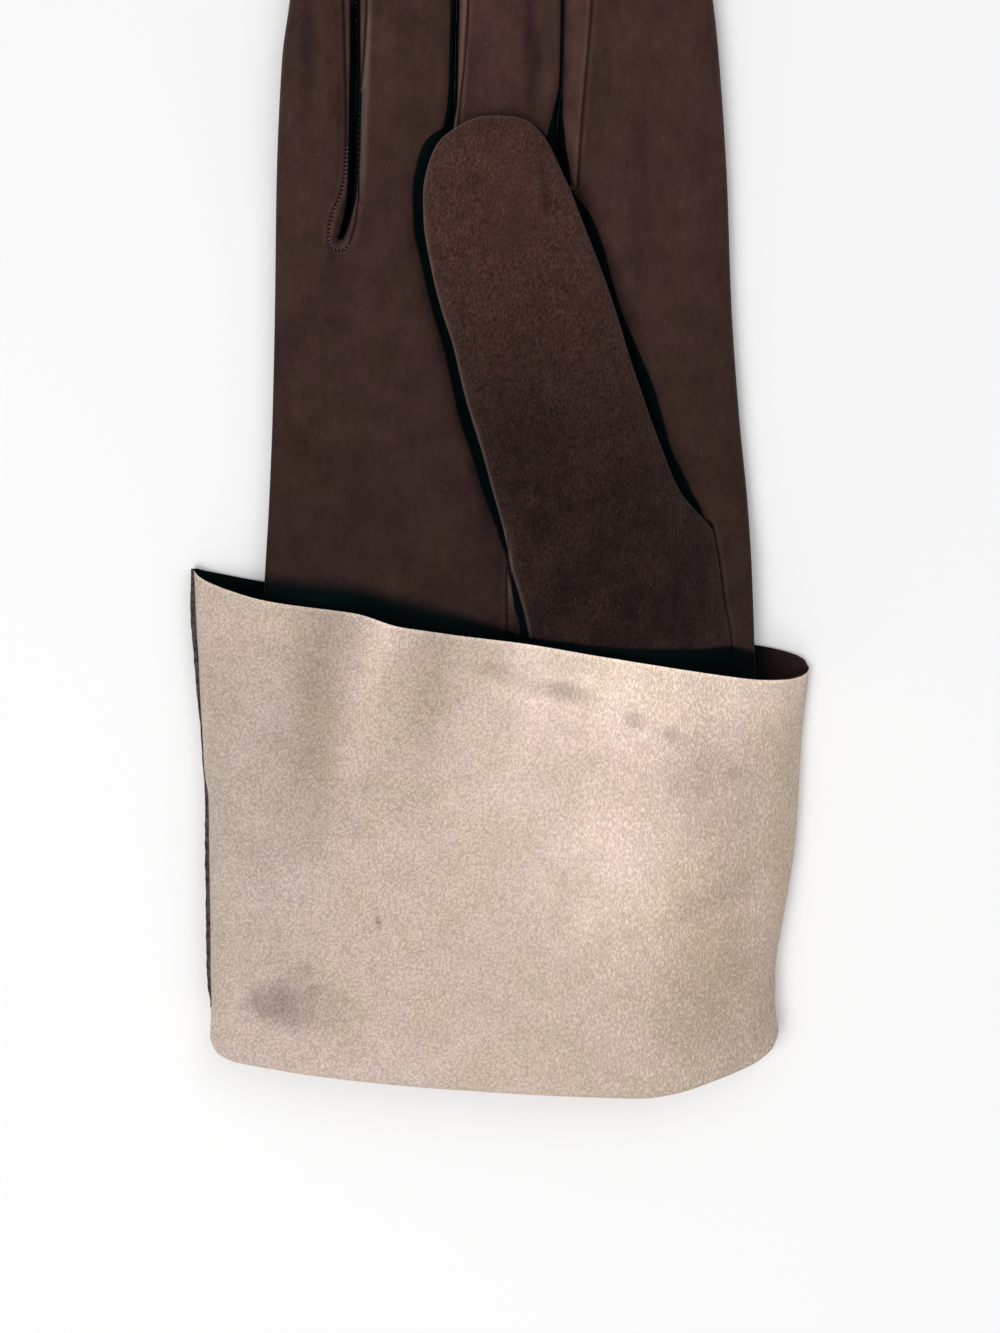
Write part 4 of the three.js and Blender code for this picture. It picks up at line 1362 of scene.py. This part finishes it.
def ply_point(ply, out, down):
    """A point of a ply of the side seam, from under the cuff's edge at 0 to its own edge at 1."""
    edge = cuff_point(0, down)
    ragged = SEAM_RAGGED * waves(edge.y, ply * PLY_PLACES, length=2)
    width = SEAM_STRIP.read("width", edge.y) * (1 + ragged)
    lift = SEAM_LIFT * waves(edge.y, ply, LIFT_PLACE, length=5) * out
    return Vector((edge.x + SEAM_TUCK - (width + SEAM_TUCK) * out, edge.y, edge.z + ply + lift))


def build_side_seam():
    """Two plies of the side seam's sewn edge, standing out along the cuff's left side."""
    mesh, _ = new_mesh()
    for ply in SEAM_PLIES:
        grid(mesh, shares(SEAM_OUT_STEPS), seam_downs(), partial(ply_point, ply), flip=ply > 0)
    return mesh


# Stitches: how far below a fingertip they end, how deep they sink and how short they are there, and
# the row where the thumb's begin
STITCHED_BELOW = 4
STITCH_SINK = 0.05
STITCH_SHORT = 0.7
THUMB_SEWN_FROM = -60

# Where the side seam is wide enough to show its stitches, how far out and above the upper ply they
# lie, their pitch and their length
SEAM_SHOWN = 0.3
EDGE_STITCH_OUT = 0.12
EDGE_STITCH_UP = 0.05
EDGE_PITCH = 0.95
EDGE_LENGTH = 0.5


def walk(points, pitch):
    """Places a pitch apart along a line through the points, each with its direction."""
    places, carried = [], pitch / 2
    for first, second in zip(points, points[1:]):
        along = second - first
        length = along.length
        while carried < length:
            places.append((first + along * (carried / length), along.normalized()))
            carried += pitch
        carried -= length
    return places


def stitch(mesh, place, along, length, thread):
    """One short stitch of a length, lying in the direction along."""
    side = along.cross(UP).normalized()
    turn = Matrix((along, side, side.cross(along))).transposed().to_4x4()
    size = Matrix.Diagonal((length / 2, thread / 2, thread / 2, 1))
    matrix = Matrix.Translation(place) @ turn @ size
    bmesh.ops.create_icosphere(mesh, subdivisions=1, radius=1, matrix=matrix)


def sew(mesh, points, pitch, length, across=False):
    """A row of stitches along the points, each lying along the seam or across it."""
    for place, along in walk(points, pitch):
        way = along.cross(UP).normalized() if across else along
        stitch(mesh, place, way, length, in_mm("thread"))


def finger_seam(slit, sink, keep):
    """The seam line round a strip at a depth below the leather's face, where keep says so."""
    end = TIPS[slit] - STITCHED_BELOW
    tops = [(top, side) for top, _, side in strip_stations(slit) if top.y < end]
    return [Vector((top.x, top.y, top.z - sink)) for top, side in tops if keep(top, side)]


def build_finger_stitches():
    mesh = bmesh.new()
    length = in_mm("stitch_length") * STITCH_SHORT
    for slit in range(len(SLITS)):

        def keep(top, side):
            return sewn(slit, side > 0.5, top.y)

        seam = finger_seam(slit, SEAM_DROP + STITCH_SINK, keep)
        sew(mesh, seam, in_mm("stitch_pitch"), length, across=True)
    return mesh


# Worn stitches round the foot of the first slit: the row up to which they show on its left side, how
# deep they sink, and their pitch and thread against the other stitches'. Then how far they lean along
# the seam, how far aside they lie and how long they are: the middle, the change and its line in the
# random pattern
WORN_TO = 58
WORN_SINK = 0.2
WORN_PITCH = 0.72
WORN_THREAD = 0.8
WORN_LEAN = (0.4, 0.5, 3.7)
WORN_ASIDE = (-0.15, 0.3, 9.1)
WORN_LENGTH = (0.8, 0.4, 1.3)

# Loose ends of thread over the forefinger's strip, how far each is turned from the one before, how
# far they lie below the slit's edge and how long they are
LOOSE_TURN = 2.1
LOOSE_SINK = 0.3
LOOSE_LENGTH = 0.5
LOOSE_ENDS = ((15.2, 60.2), (14.7, 59.4), (14.9, 58.6), (14.2, 57.8), (13.6, 57.5), (13.2, 56.9))


def build_worn_stitches():
    """Lighter stitches at the foot of the slits, where the thread shows."""
    mesh = bmesh.new()
    thread = in_mm("thread") * WORN_THREAD

    def keep(top, side):
        return top.y < (WORN_TO if side < 0.5 else CROTCHES[0])

    def varied(middle, change, line):
        return middle + change * waves(count, line)

    seam = finger_seam(0, WORN_SINK, keep)
    for count, (place, along) in enumerate(walk(seam, in_mm("stitch_pitch") * WORN_PITCH)):
        out = along.cross(UP).normalized()
        way = out + along * varied(*WORN_LEAN)
        place = place + out * varied(*WORN_ASIDE)
        stitch(mesh, place, way.normalized(), varied(*WORN_LENGTH), thread)
    for count, (x, y) in enumerate(LOOSE_ENDS):
        way = Vector((math.cos(count * LOOSE_TURN), math.sin(count * LOOSE_TURN), 0))
        stitch(mesh, Vector((x, y, SLIT_HEIGHT - LOOSE_SINK)), way, LOOSE_LENGTH, thread)
    return mesh


def build_thumb_stitches():
    mesh = bmesh.new()
    outline = [(point.x, point.y) for point in hole_outline() if point.y > THUMB_SEWN_FROM]
    points = [Vector((x, y, palm_height(x, y) - RIM_DEPTH)) for x, y in outline]
    sew(mesh, points, in_mm("stitch_pitch"), in_mm("stitch_length"), across=True)
    return mesh


def build_side_stitches():
    """Pale stitches along both stretches of the side seam that stand out."""
    mesh = bmesh.new()
    run = []
    for down in seam_downs():
        edge = cuff_point(0, down)
        width = SEAM_STRIP.read("width", edge.y)
        if width > SEAM_SHOWN:
            out = edge.x - EDGE_STITCH_OUT - width * EDGE_STITCH_OUT
            run.append(Vector((out, edge.y, edge.z + SEAM_PLIES[0] + EDGE_STITCH_UP)))
        if run and (width <= SEAM_SHOWN or down == SEAM_END):
            sew(mesh, run, EDGE_PITCH, EDGE_LENGTH)
            run = []
    return mesh


# Finishes
class Wire:
    """A value or colour on its way through a finish, with shader maths as expressions."""

    def __init__(self, finish, socket):
        self.finish = finish
        self.socket = socket

    def maths(self, operation, first, second):
        return self.finish.node("ShaderNodeMath", {"operation": operation}, {0: first, 1: second})

    def __add__(self, other):
        return self.maths("ADD", self, other)

    __radd__ = __add__

    def __sub__(self, other):
        return self.maths("SUBTRACT", self, other)

    def __rsub__(self, other):
        return self.maths("SUBTRACT", other, self)

    def __mul__(self, other):
        return self.maths("MULTIPLY", self, other)

    __rmul__ = __mul__


class Finish:
    """A material whose nodes are added by type, settings and inputs."""

    def __init__(self, name):
        self.material = bpy.data.materials.new(name)
        self.material.use_nodes = True
        self.tree = self.material.node_tree
        self.tree.nodes.clear()
        self.mm = self.lit(self.node("ShaderNodeTexCoord", output="Object"), 1 / MM)

    def node(self, kind, settings=None, inputs=None, output=0):
        made = self.tree.nodes.new(kind)
        for name, value in (settings or {}).items():
            if name == "stops":
                self.fill_ramp(made.color_ramp, value)
            else:
                setattr(made, name, value)
        for name, value in (inputs or {}).items():
            if isinstance(value, Wire):
                self.tree.links.new(value.socket, made.inputs[name])
            else:
                made.inputs[name].default_value = value
        return None if output is None else Wire(self, made.outputs[output])

    def fill_ramp(self, ramp, stops):
        while len(ramp.elements) < len(stops):
            ramp.elements.new(1.0)
        for element, (place, tone) in zip(ramp.elements, stops):
            element.position = place
            element.color = tone

    def mix(self, factor, first, second):
        return self.node("ShaderNodeMix", {"data_type": "RGBA"}, {0: factor, 6: first, 7: second}, 2)

    def along(self, axis):
        """The place along one axis in millimetres."""
        return self.node("ShaderNodeSeparateXYZ", {}, {0: self.mm}, axis)

    def cells(self, place, scale):
        """Distance from the middles of random cells."""
        return self.node("ShaderNodeTexVoronoi", {}, {"Vector": place, "Scale": scale}, "Distance")

    def scaled(self, x, y, z):
        """The place in millimetres, stretched by a factor along each axis."""
        inputs = {0: self.mm, 1: (x, y, z)}
        return self.node("ShaderNodeVectorMath", {"operation": "MULTIPLY"}, inputs)

    def grain(self, place, scale, detail=3.0, roughness=0.55, distortion=0.0):
        inputs = {"Vector": place, "Scale": scale, "Detail": detail}
        inputs.update({"Roughness": roughness, "Distortion": distortion})
        return self.node("ShaderNodeTexNoise", {}, inputs)

    def ramp(self, value, low, high, first=0.0, last=1.0):
        """Moves smoothly from first to last as a value goes from low to high."""
        inputs = {"Value": value, "From Min": low, "From Max": high, "To Min": first, "To Max": last}
        return self.node("ShaderNodeMapRange", {"interpolation_type": "SMOOTHSTEP"}, inputs)

    def spot(self, centre, radii, turn=0.0, ragged=0.0, soft=0.2):
        """A soft spot that is 1 inside an ellipse on the surface and fades out round it."""
        inputs = {
            "Vector": self.mm,
            "Location": (*centre, 0),
            "Rotation": (0, 0, turn),
            "Scale": (*radii, 1000),
        }
        local = self.node("ShaderNodeMapping", {"vector_type": "TEXTURE"}, inputs)
        far = self.node("ShaderNodeVectorMath", {"operation": "LENGTH"}, {0: local}, "Value")
        if ragged:
            far = far + ragged * (self.grain(self.mm, 0.22, 4.0) - 0.5)
        return self.ramp(far, soft, 1.0, 1.0, 0.0)

    def attribute(self, name):
        """A value that the piece's points carry, which is 0 where they carry none."""
        return self.node("ShaderNodeAttribute", {"attribute_name": name}, output="Fac")

    def lit(self, tone, value):
        """A colour or a place times a value."""
        return self.node("ShaderNodeVectorMath", {"operation": "SCALE"}, {0: tone, "Scale": value})

    def bump(self, height, distance, strength=1.0, normal=None):
        inputs = {"Height": height, "Distance": distance * MM, "Strength": strength}
        if normal:
            inputs["Normal"] = normal
        return self.node("ShaderNodeBump", {}, inputs)

    def surface(self, inputs, crease=None):
        """Ends the material in a surface, which is a dull near black painted shade where its shade is
        deep.
        """
        shader = self.node("ShaderNodeBsdfPrincipled", {}, inputs)
        if crease:
            dull = {"Base Color": colour("crease"), "Roughness": 1.0, "Specular IOR Level": 0.0}
            shade_shader = self.node("ShaderNodeBsdfPrincipled", {}, dull)
            shader = self.node("ShaderNodeMixShader", {}, {0: crease, 1: shader, 2: shade_shader})
        self.node("ShaderNodeOutputMaterial", {}, {"Surface": shader}, None)
        return self.material


def seamed(finish, tone):
    """A colour greyer where its points carry light, as painted highlight and partly as rubbed nap,
    with a thin dark line along each seam between painted highlights on the ridges beside it.
    """
    rubbed_and_highlight = finish.ramp(finish.attribute("light"), 0.12, 0.7)
    tone = finish.mix(0.4 * rubbed_and_highlight, tone, colour("rubbed_and_highlight"))
    near = SEAM_REACH - finish.attribute("seam")
    # Painted highlights on the rolled ridges beside each seam
    ridge_highlight = finish.ramp(near, 0.25, 0.5) * finish.ramp(near, 0.7, 1.3, 1.0, 0.0)
    tone = finish.lit(tone, 1 + 0.4 * ridge_highlight)
    return finish.mix(0.85 * finish.ramp(near, 0.06, 0.22, 1.0, 0.0), tone, colour("seam_line"))


def suede_surface(finish, tone, normal, roughness, sheen, tint):
    """Ends a suede: dull, with a weak sheen from its nap, and near black where its painted shade is
    deep.
    """
    inputs = {
        "Base Color": tone,
        "Roughness": roughness,
        "Specular IOR Level": 0.1,
        "Sheen Weight": sheen,
        "Sheen Roughness": 0.3,
        "Sheen Tint": tint,
        "Normal": normal,
    }
    return finish.surface(inputs, finish.ramp(finish.attribute("crease"), 0.0, 1.0))


def suede(name, lift=1.0):
    """Short smooth brown suede, mottled with plum and umber, with a few light specks."""
    finish = Finish(name)
    blotch = finish.ramp(finish.grain(finish.scaled(1, 0.6, 1), 0.07, 4.0), 0.38, 0.62)
    tone = finish.mix(blotch, colour("suede_plum", lift), colour("suede_umber", lift))
    cloud = finish.ramp(finish.grain(finish.mm, 0.12, 4.0, 0.62), 0.3, 0.7, 0.84, 1.18)
    rub = finish.grain(finish.scaled(1, 0.4, 1), 0.6, 5.0, 0.65)
    nap = finish.grain(finish.mm, 2.6, 6.0, 0.72)
    value = cloud * finish.ramp(rub, 0.25, 0.75, 0.86, 1.14) * finish.ramp(nap, 0.25, 0.75, 0.8, 1.2)
    value = value * finish.ramp(finish.along("Y"), -30.0, 50.0, 0.8, 1.14)
    index = finish.spot((34, 70), (26, 60), soft=0.3)
    middle = finish.spot((2, 95), (14, 46), soft=0.4)
    value = value * (1 + 0.08 * index) * (1 + 0.3 * middle) * (1 + finish.attribute("light"))
    tone = finish.lit(tone, value)
    fleck = finish.ramp(finish.cells(finish.mm, 0.28), 0.025, 0.06, 1.0, 0.0)
    tone = finish.mix(0.5 * fleck, tone, colour("worn_thread"))
    tone = seamed(finish, tone)
    normal = finish.bump(rub, 0.12, 0.6)
    normal = finish.bump(nap, 0.12, 0.9, normal)
    return suede_surface(finish, tone, normal, 0.92, 0.12, (0.5, 0.4, 0.37, 1))


def napped_suede(name):
    """Coarser raised suede of the thumb, darker towards its base, with short streaked fibres."""
    finish = Finish(name)
    up = finish.ramp(finish.along("Y"), -22.0, 58.0)
    tone = finish.mix(up, colour("thumb_base"), colour("thumb_tip"))
    red = finish.ramp(finish.grain(finish.mm, 0.11, 4.0), 0.4, 0.62)
    tone = finish.mix(0.35 * red, tone, colour("suede_umber"))
    fibre = finish.grain(finish.scaled(1.6, 0.75, 1), 1.7, 6.0, 0.72, 0.4)
    tuft = finish.grain(finish.scaled(1, 0.6, 1), 0.45, 5.0, 0.66)
    fine = finish.grain(finish.mm, 4.2, 3.0, 0.7)
    value = finish.ramp(fibre, 0.36, 0.64, 0.5, 1.55) * finish.ramp(tuft, 0.3, 0.7, 0.82, 1.18)
    value = value * finish.ramp(fine, 0.25, 0.75, 0.75, 1.25)
    bald = finish.spot((2, 47), (10, 16), ragged=0.5)
    value = 1 + (value - 1) * (1 - 0.4 * bald)
    # Painted shade of a narrow dent on the thumb
    dent_shade = finish.spot((8.6, 48), (1.6, 9), 0.12, 0.4)
    plum = finish.spot((4, 3), (11, 14), 0.0, 0.8)
    value = value * (1 - 0.32 * dent_shade) * (1 - 0.2 * plum) * (1 + finish.attribute("light"))
    tone = finish.lit(tone, value)
    fleck = finish.ramp(finish.cells(finish.mm, 0.5), 0.03, 0.09, 1.0, 0.0)
    tone = finish.mix(0.6 * fleck, tone, colour("rubbed_and_highlight"))
    tone = seamed(finish, tone)
    normal = finish.bump(tuft, 0.25, 0.5)
    normal = finish.bump(fibre, 0.36, 1.0, normal)
    normal = finish.bump(fine, 0.1, 0.8, normal)
    return suede_surface(finish, tone, normal, 0.95, 0.2, (0.55, 0.42, 0.38, 1))


# Marks on the cream side: centre, radii, turn, raggedness, strength and colour
CREAM_MARKS = (
    ((-52, -80), (26, 60), 0.0, 0.6, 0.3, "cream_grey"),
    # The next two are painted shade in the valleys on both sides of the cuff's ridge
    ((-36, -52), (7, 26), 0.15, 0.8, 0.5, "cream_ochre_and_fold_shade"),
    ((-14.5, -48), (5, 13), -0.3, 0.8, 0.45, "cream_ochre_and_fold_shade"),
    ((-46, -70), (9, 12), 0.4, 0.9, 0.35, "cream_ochre_and_fold_shade"),
    ((57, -80), (8, 40), 0.0, 0.6, 0.6, "cream_ochre_and_fold_shade"),
    ((40, -100), (16, 34), 0.0, 0.6, 0.6, "cream_ochre_and_fold_shade"),
    ((-20, -38), (9, 5), -0.3, 0.6, 0.6, "cream_rose"),
    ((-53, -36), (8, 7), 0.0, 0.6, 0.6, "cream_rose"),
    ((22, -62), (40, 22), 0.0, 0.9, 0.45, "cream_rose"),
    ((-41, -110), (16, 8), -0.1, 0.8, 0.32, "stain"),
    ((-43, -109.8), (9, 5.5), -0.15, 1.0, 0.3, "stain"),
    ((-44, -109.5), (5, 3.4), 0.2, 1.2, 0.26, "stain"),
    ((-36.3, -107.3), (4, 2.6), 0.2, 1.2, 0.3, "stain"),
    ((-33, -112.6), (3, 2), 0.2, 1.2, 0.2, "stain"),
    ((-30.3, -108.4), (1.6, 2.2), 0.0, 0.9, 0.25, "stain"),
    ((-23.8, -93.2), (1.3, 2.4), 0.2, 0.9, 0.55, "stain"),
    ((-9, -83), (1.2, 2), 0.2, 0.9, 0.2, "stain"),
    ((11, -47.8), (13, 2.8), -0.25, 1.1, 0.3, "stain"),
    ((13, -47.2), (5, 2.4), -0.2, 1.0, 0.34, "stain"),
    ((26, -53.2), (3.6, 2.6), -0.4, 1.1, 0.36, "stain"),
    ((33, -56), (3, 2.4), 0.3, 1.1, 0.34, "stain"),
    ((-1, -43.6), (8, 2.6), -0.15, 1.1, 0.24, "stain"),
    ((46, -64), (3, 2), 0.0, 0.8, 0.2, "stain"),
    ((-38, -103), (3, 2), 0.0, 0.9, 0.2, "stain"),
    ((42, -88), (18, 4), 0.45, 1.1, 0.2, "stain"),
)

# Painted light and shade on the cream side, lighter and darker places: centre, radii and how much
# lighter
CREAM_PAINTED_LIGHT = (
    ((34, -46), (42, 19), 0.5),
    ((14, -66), (50, 40), 0.12),
    ((25, -82), (23, 36), 0.22),
    ((46, -110), (24, 26), -0.16),
    ((-42, -54), (30, 46), -0.14),
)


def cream(name):
    """The leather's cream inner side: fine pebbled grain, soft blotches, old stains, and painted
    light and shade.
    """
    finish = Finish(name)
    blotch = finish.ramp(finish.grain(finish.mm, 0.07, 4.0, 0.6), 0.35, 0.65)
    tone = finish.mix(blotch, colour("cream_ochre_and_fold_shade"), colour("cream_rose"))
    tone = finish.mix(0.5, tone, colour("cream"))
    front = finish.ramp(finish.along("Z"), 3.0, 6.0)
    for centre, radii, turn, ragged, strength, dye in CREAM_MARKS:
        mark = front * finish.spot(centre, radii, turn, ragged)
        tone = finish.mix(strength * mark, tone, colour(dye))
    value = 1
    for centre, radii, more in CREAM_PAINTED_LIGHT:
        value = value * (1 + more * finish.spot(centre, radii, ragged=0.5, soft=0.1))
    # Painted light of the lighter places on the front, and painted light and shade of the folds
    value = (1 + front * (value - 1)) * (1 + finish.attribute("light"))
    warp = finish.grain(finish.mm, 0.9, 3.0)
    moved = {0: finish.scaled(1, 0.85, 1), 1: 0.7 * warp}
    warped = finish.node("ShaderNodeVectorMath", {"operation": "ADD"}, moved)
    uneven = finish.ramp(finish.grain(finish.mm, 2.9, 3.0, 0.7), 0.3, 0.7)
    pebble = 0.65 * (1 - 1.35 * finish.cells(warped, 2.1)) + 0.35 * uneven
    fibre = finish.grain(finish.scaled(1, 0.42, 1), 3.1, 3.0, 0.7, 0.3)
    sided = finish.ramp(finish.along("X"), -20.0, 40.0) * 0.7
    grain = pebble + (finish.ramp(fibre, 0.36, 0.64) - pebble) * sided
    fine = finish.grain(finish.mm, 5.5, 2.0, 0.6)
    value = value * finish.ramp(grain, 0.05, 0.85, 0.69, 1.07) * finish.ramp(fine, 0.3, 0.7, 0.9, 1.1)
    value = value * finish.ramp(finish.grain(finish.mm, 0.16, 3.0), 0.3, 0.7, 0.96, 1.04)
    # Lighter along the hem's edge: painted highlight, partly the edge's paler fuzz
    hem = SEAM_REACH - finish.attribute("seam")
    value = value * (1 + 0.2 * finish.ramp(hem, 0.3, 0.9, 1.0, 0.0))
    tone = finish.lit(tone, value)
    normal = finish.bump(grain, 0.16, 0.9)
    normal = finish.bump(fine, 0.05, 0.6, normal)
    return finish.surface(
        {
            "Base Color": tone,
            "Roughness": 0.85,
            "Specular IOR Level": 0.2,
            "Sheen Weight": 0.08,
            "Sheen Roughness": 0.5,
            "Normal": normal,
        }
    )


def plain(name, tone, strength=0.12, scale=3.0):
    """A plain brown finish with a little grain, for thread and sewn edges."""
    finish = Finish(name)
    grain = finish.grain(finish.mm, scale, 3.0)
    value = finish.ramp(grain, 0.35, 0.65, 1 - strength, 1 + strength)
    lit = finish.lit(tone[:3], value)
    return finish.surface({"Base Color": lit, "Roughness": 0.9, "Normal": finish.bump(grain, 0.05)})


# How each finish is made
FINISHES = {
    "short_nap": suede,
    "strip_nap": lambda name: suede(name, lift=1.3),
    "raised_nap": napped_suede,
    "pebbled_cream": cream,
    "sewn_edge": lambda name: plain(name, colour("seam"), strength=0.7, scale=1.3),
    "brown_thread": lambda name: plain(name, colour("thread")),
    "edge_thread": lambda name: plain(name, colour("edge_thread")),
    "worn_thread": lambda name: plain(name, colour("worn_thread")),
}


def finish_of(name):
    """A finish by its name, made once and used by several pieces."""
    return bpy.data.materials.get(name) or FINISHES[name](name)


def placed(name, data):
    """A new object in the scene."""
    made = bpy.data.objects.new(name, data)
    bpy.context.scene.collection.objects.link(made)
    return made


def mesh_object(name, mesh, materials):
    """A new object with a finished mesh and its materials."""
    data = bpy.data.meshes.new(name)
    mesh.to_mesh(data)
    mesh.free()
    for material in materials:
        data.materials.append(material)
    return placed(name, data)


def shown(mesh, name, finishes, nodes=(), wall=0.0, cut_edge=0):
    """Makes a finished piece of a mesh in millimetres, with its wall and its place on the frame."""
    bmesh.ops.scale(mesh, vec=(MM, MM, MM), verts=mesh.verts)
    for face in mesh.faces:
        face.smooth = True
    for edge in mesh.edges:
        edge.smooth = not edge.is_boundary
    piece = mesh_object(name, mesh, [finish_of(finish) for finish in finishes])
    if wall:
        solid = piece.modifiers.new("leather", "SOLIDIFY")
        solid.thickness = wall
        solid.offset = -1
        solid.use_quality_normals = True
        solid.material_offset = min(1, len(finishes) - 1)
        solid.material_offset_rim = cut_edge
    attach(piece, "root")
    if nodes:
        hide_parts(*nodes)


class GLOVE_OT_hand(bpy.types.Operator):
    """Palm, back and four fingers in one"""

    bl_idname = "glove.hand"
    bl_label = "Hand"

    def execute(self, context):
        finishes = ("short_nap", "pebbled_cream")
        shown(build_hand(), "hand_suede", finishes, ["hand"], sizes().leather)
        return {"FINISHED"}


class GLOVE_OT_strips(bpy.types.Operator):
    """The three strips between the fingers"""

    bl_idname = "glove.strips"
    bl_label = "Strips between the fingers"

    def execute(self, context):
        finishes = ("strip_nap", "pebbled_cream")
        wall = sizes().strip_leather
        for slit, name in enumerate(SLIT_NAMES):
            node = "fourchette_" + name
            shown(build_strip(slit), "strip_" + name, finishes, [node], wall)
        return {"FINISHED"}


class GLOVE_OT_thumb(bpy.types.Operator):
    """The thumb, sewn into its hole"""

    bl_idname = "glove.thumb"
    bl_label = "Thumb"

    def execute(self, context):
        finishes = ("raised_nap", "pebbled_cream")
        shown(build_thumb(), "thumb_suede", finishes, ["thumb"], sizes().leather)
        return {"FINISHED"}


class GLOVE_OT_cuff(bpy.types.Operator):
    """The long cuff, turned back"""

    bl_idname = "glove.cuff"
    bl_label = "Turned cuff"

    def execute(self, context):
        finishes = ("pebbled_cream", "short_nap")
        wall = sizes().leather
        shown(build_cuff(), "cuff_leather", finishes, ["turned_cuff"], wall, 1)
        return {"FINISHED"}


class GLOVE_OT_seams(bpy.types.Operator):
    """The cuff's side seam and the stitches of every seam"""

    bl_idname = "glove.seams"
    bl_label = "Seams and stitches"

    def execute(self, context):
        edge = ["sewn_edge"]
        wall = sizes().edge_ply
        shown(build_side_seam(), "side_seam_plies", edge, ["cuff_side_seam"], wall)
        for build, name, slot, thread in (
            (build_finger_stitches, "finger_stitches", "strip_suede", "brown_thread"),
            (build_worn_stitches, "worn_stitches", "strip_suede", "worn_thread"),
            (build_thumb_stitches, "thumb_stitches", "napped_suede", "brown_thread"),
            (build_side_stitches, "side_stitches", "seam_suede", "edge_thread"),
        ):
            shown(build(), name, [thread])
        return {"FINISHED"}


# Camera, in millimetres: it looks down at the glove from its picture's angle
CAMERA_TARGET = Vector((0, -43.5, 8.0))
CAMERA_DISTANCE = 720
CAMERA_TILT = math.radians(4)
PICTURE_HEIGHT = 1333
PIXELS_PER_MM = 5.11
SENSOR = 36


class GLOVE_OT_stage(bpy.types.Operator):
    """Floor, lights and camera"""

    bl_idname = "glove.stage"
    bl_label = "Stage"

    def execute(self, context):
        self.floor()
        self.lights()
        self.camera(context)
        return {"FINISHED"}

    def floor(self):
        mesh = bmesh.new()
        bmesh.ops.create_grid(mesh, x_segments=1, y_segments=1, size=sizes().floor / 2)
        finish = Finish("floor").surface({"Base Color": colour("floor"), "Roughness": 0.9})
        floor = mesh_object("floor", mesh, [finish])

    def lights(self):
        world = bpy.data.worlds.new("studio")
        world.use_nodes = True
        inputs = world.node_tree.nodes["Background"].inputs
        inputs["Color"].default_value = (1, 1, 1, 1)
        inputs["Strength"].default_value = 0.4
        bpy.context.scene.world = world
        for name, place, size, power in (
            ("key", (-0.45, -0.45, 1.3), 0.9, 12.5),
            ("fill", (0.6, 0.5, 1.3), 1.2, 4.6),
        ):
            light = bpy.data.lights.new(name, "AREA")
            light.size = size
            light.energy = power
            lamp = placed(name, light)
            lamp.location = place
            lamp.rotation_euler = (-Vector(place)).to_track_quat("-Z", "Y").to_euler()
        bpy.context.scene.view_settings.view_transform = "Standard"

    def camera(self, context):
        data = bpy.data.cameras.new("camera")
        data.sensor_fit = "VERTICAL"
        data.sensor_height = SENSOR
        data.lens = PIXELS_PER_MM * CAMERA_DISTANCE * SENSOR / PICTURE_HEIGHT
        back = Vector((0, math.sin(CAMERA_TILT), math.cos(CAMERA_TILT)))
        camera = placed("camera", data)
        camera.location = (CAMERA_TARGET + back * CAMERA_DISTANCE) * MM
        camera.rotation_euler = (-CAMERA_TILT, 0, 0)
        context.scene.camera = camera


class GLOVE_PT_panel(bpy.types.Panel):
    """Glove panel in the sidebar"""

    bl_label = "Suede glove"
    bl_idname = "GLOVE_PT_panel"
    bl_space_type = "VIEW_3D"
    bl_region_type = "UI"
    bl_category = "Glove"

    def draw(self, context):
        for operator in OPERATORS:
            self.layout.operator(operator.bl_idname)
        for group in (context.scene.glove_sizes, context.scene.glove_colours):
            box = self.layout.box()
            for name in group.bl_rna.properties.keys():
                if name not in ("rna_type", "name"):
                    box.prop(group, name)


OPERATORS = (
    GLOVE_OT_hand,
    GLOVE_OT_strips,
    GLOVE_OT_thumb,
    GLOVE_OT_cuff,
    GLOVE_OT_seams,
    GLOVE_OT_stage,
)
CLASSES = (GloveSizes, GloveColours, *OPERATORS, GLOVE_PT_panel)


def register():
    for item in CLASSES:
        bpy.utils.register_class(item)
    bpy.types.Scene.glove_sizes = PointerProperty(type=GloveSizes)
    bpy.types.Scene.glove_colours = PointerProperty(type=GloveColours)


def unregister():
    del bpy.types.Scene.glove_sizes
    del bpy.types.Scene.glove_colours
    for item in reversed(CLASSES):
        bpy.utils.unregister_class(item)


def main():
    register()
    for operator in OPERATORS:
        group, name = operator.bl_idname.split(".")
        getattr(getattr(bpy.ops, group), name)()


if __name__ == "__main__":
    main()
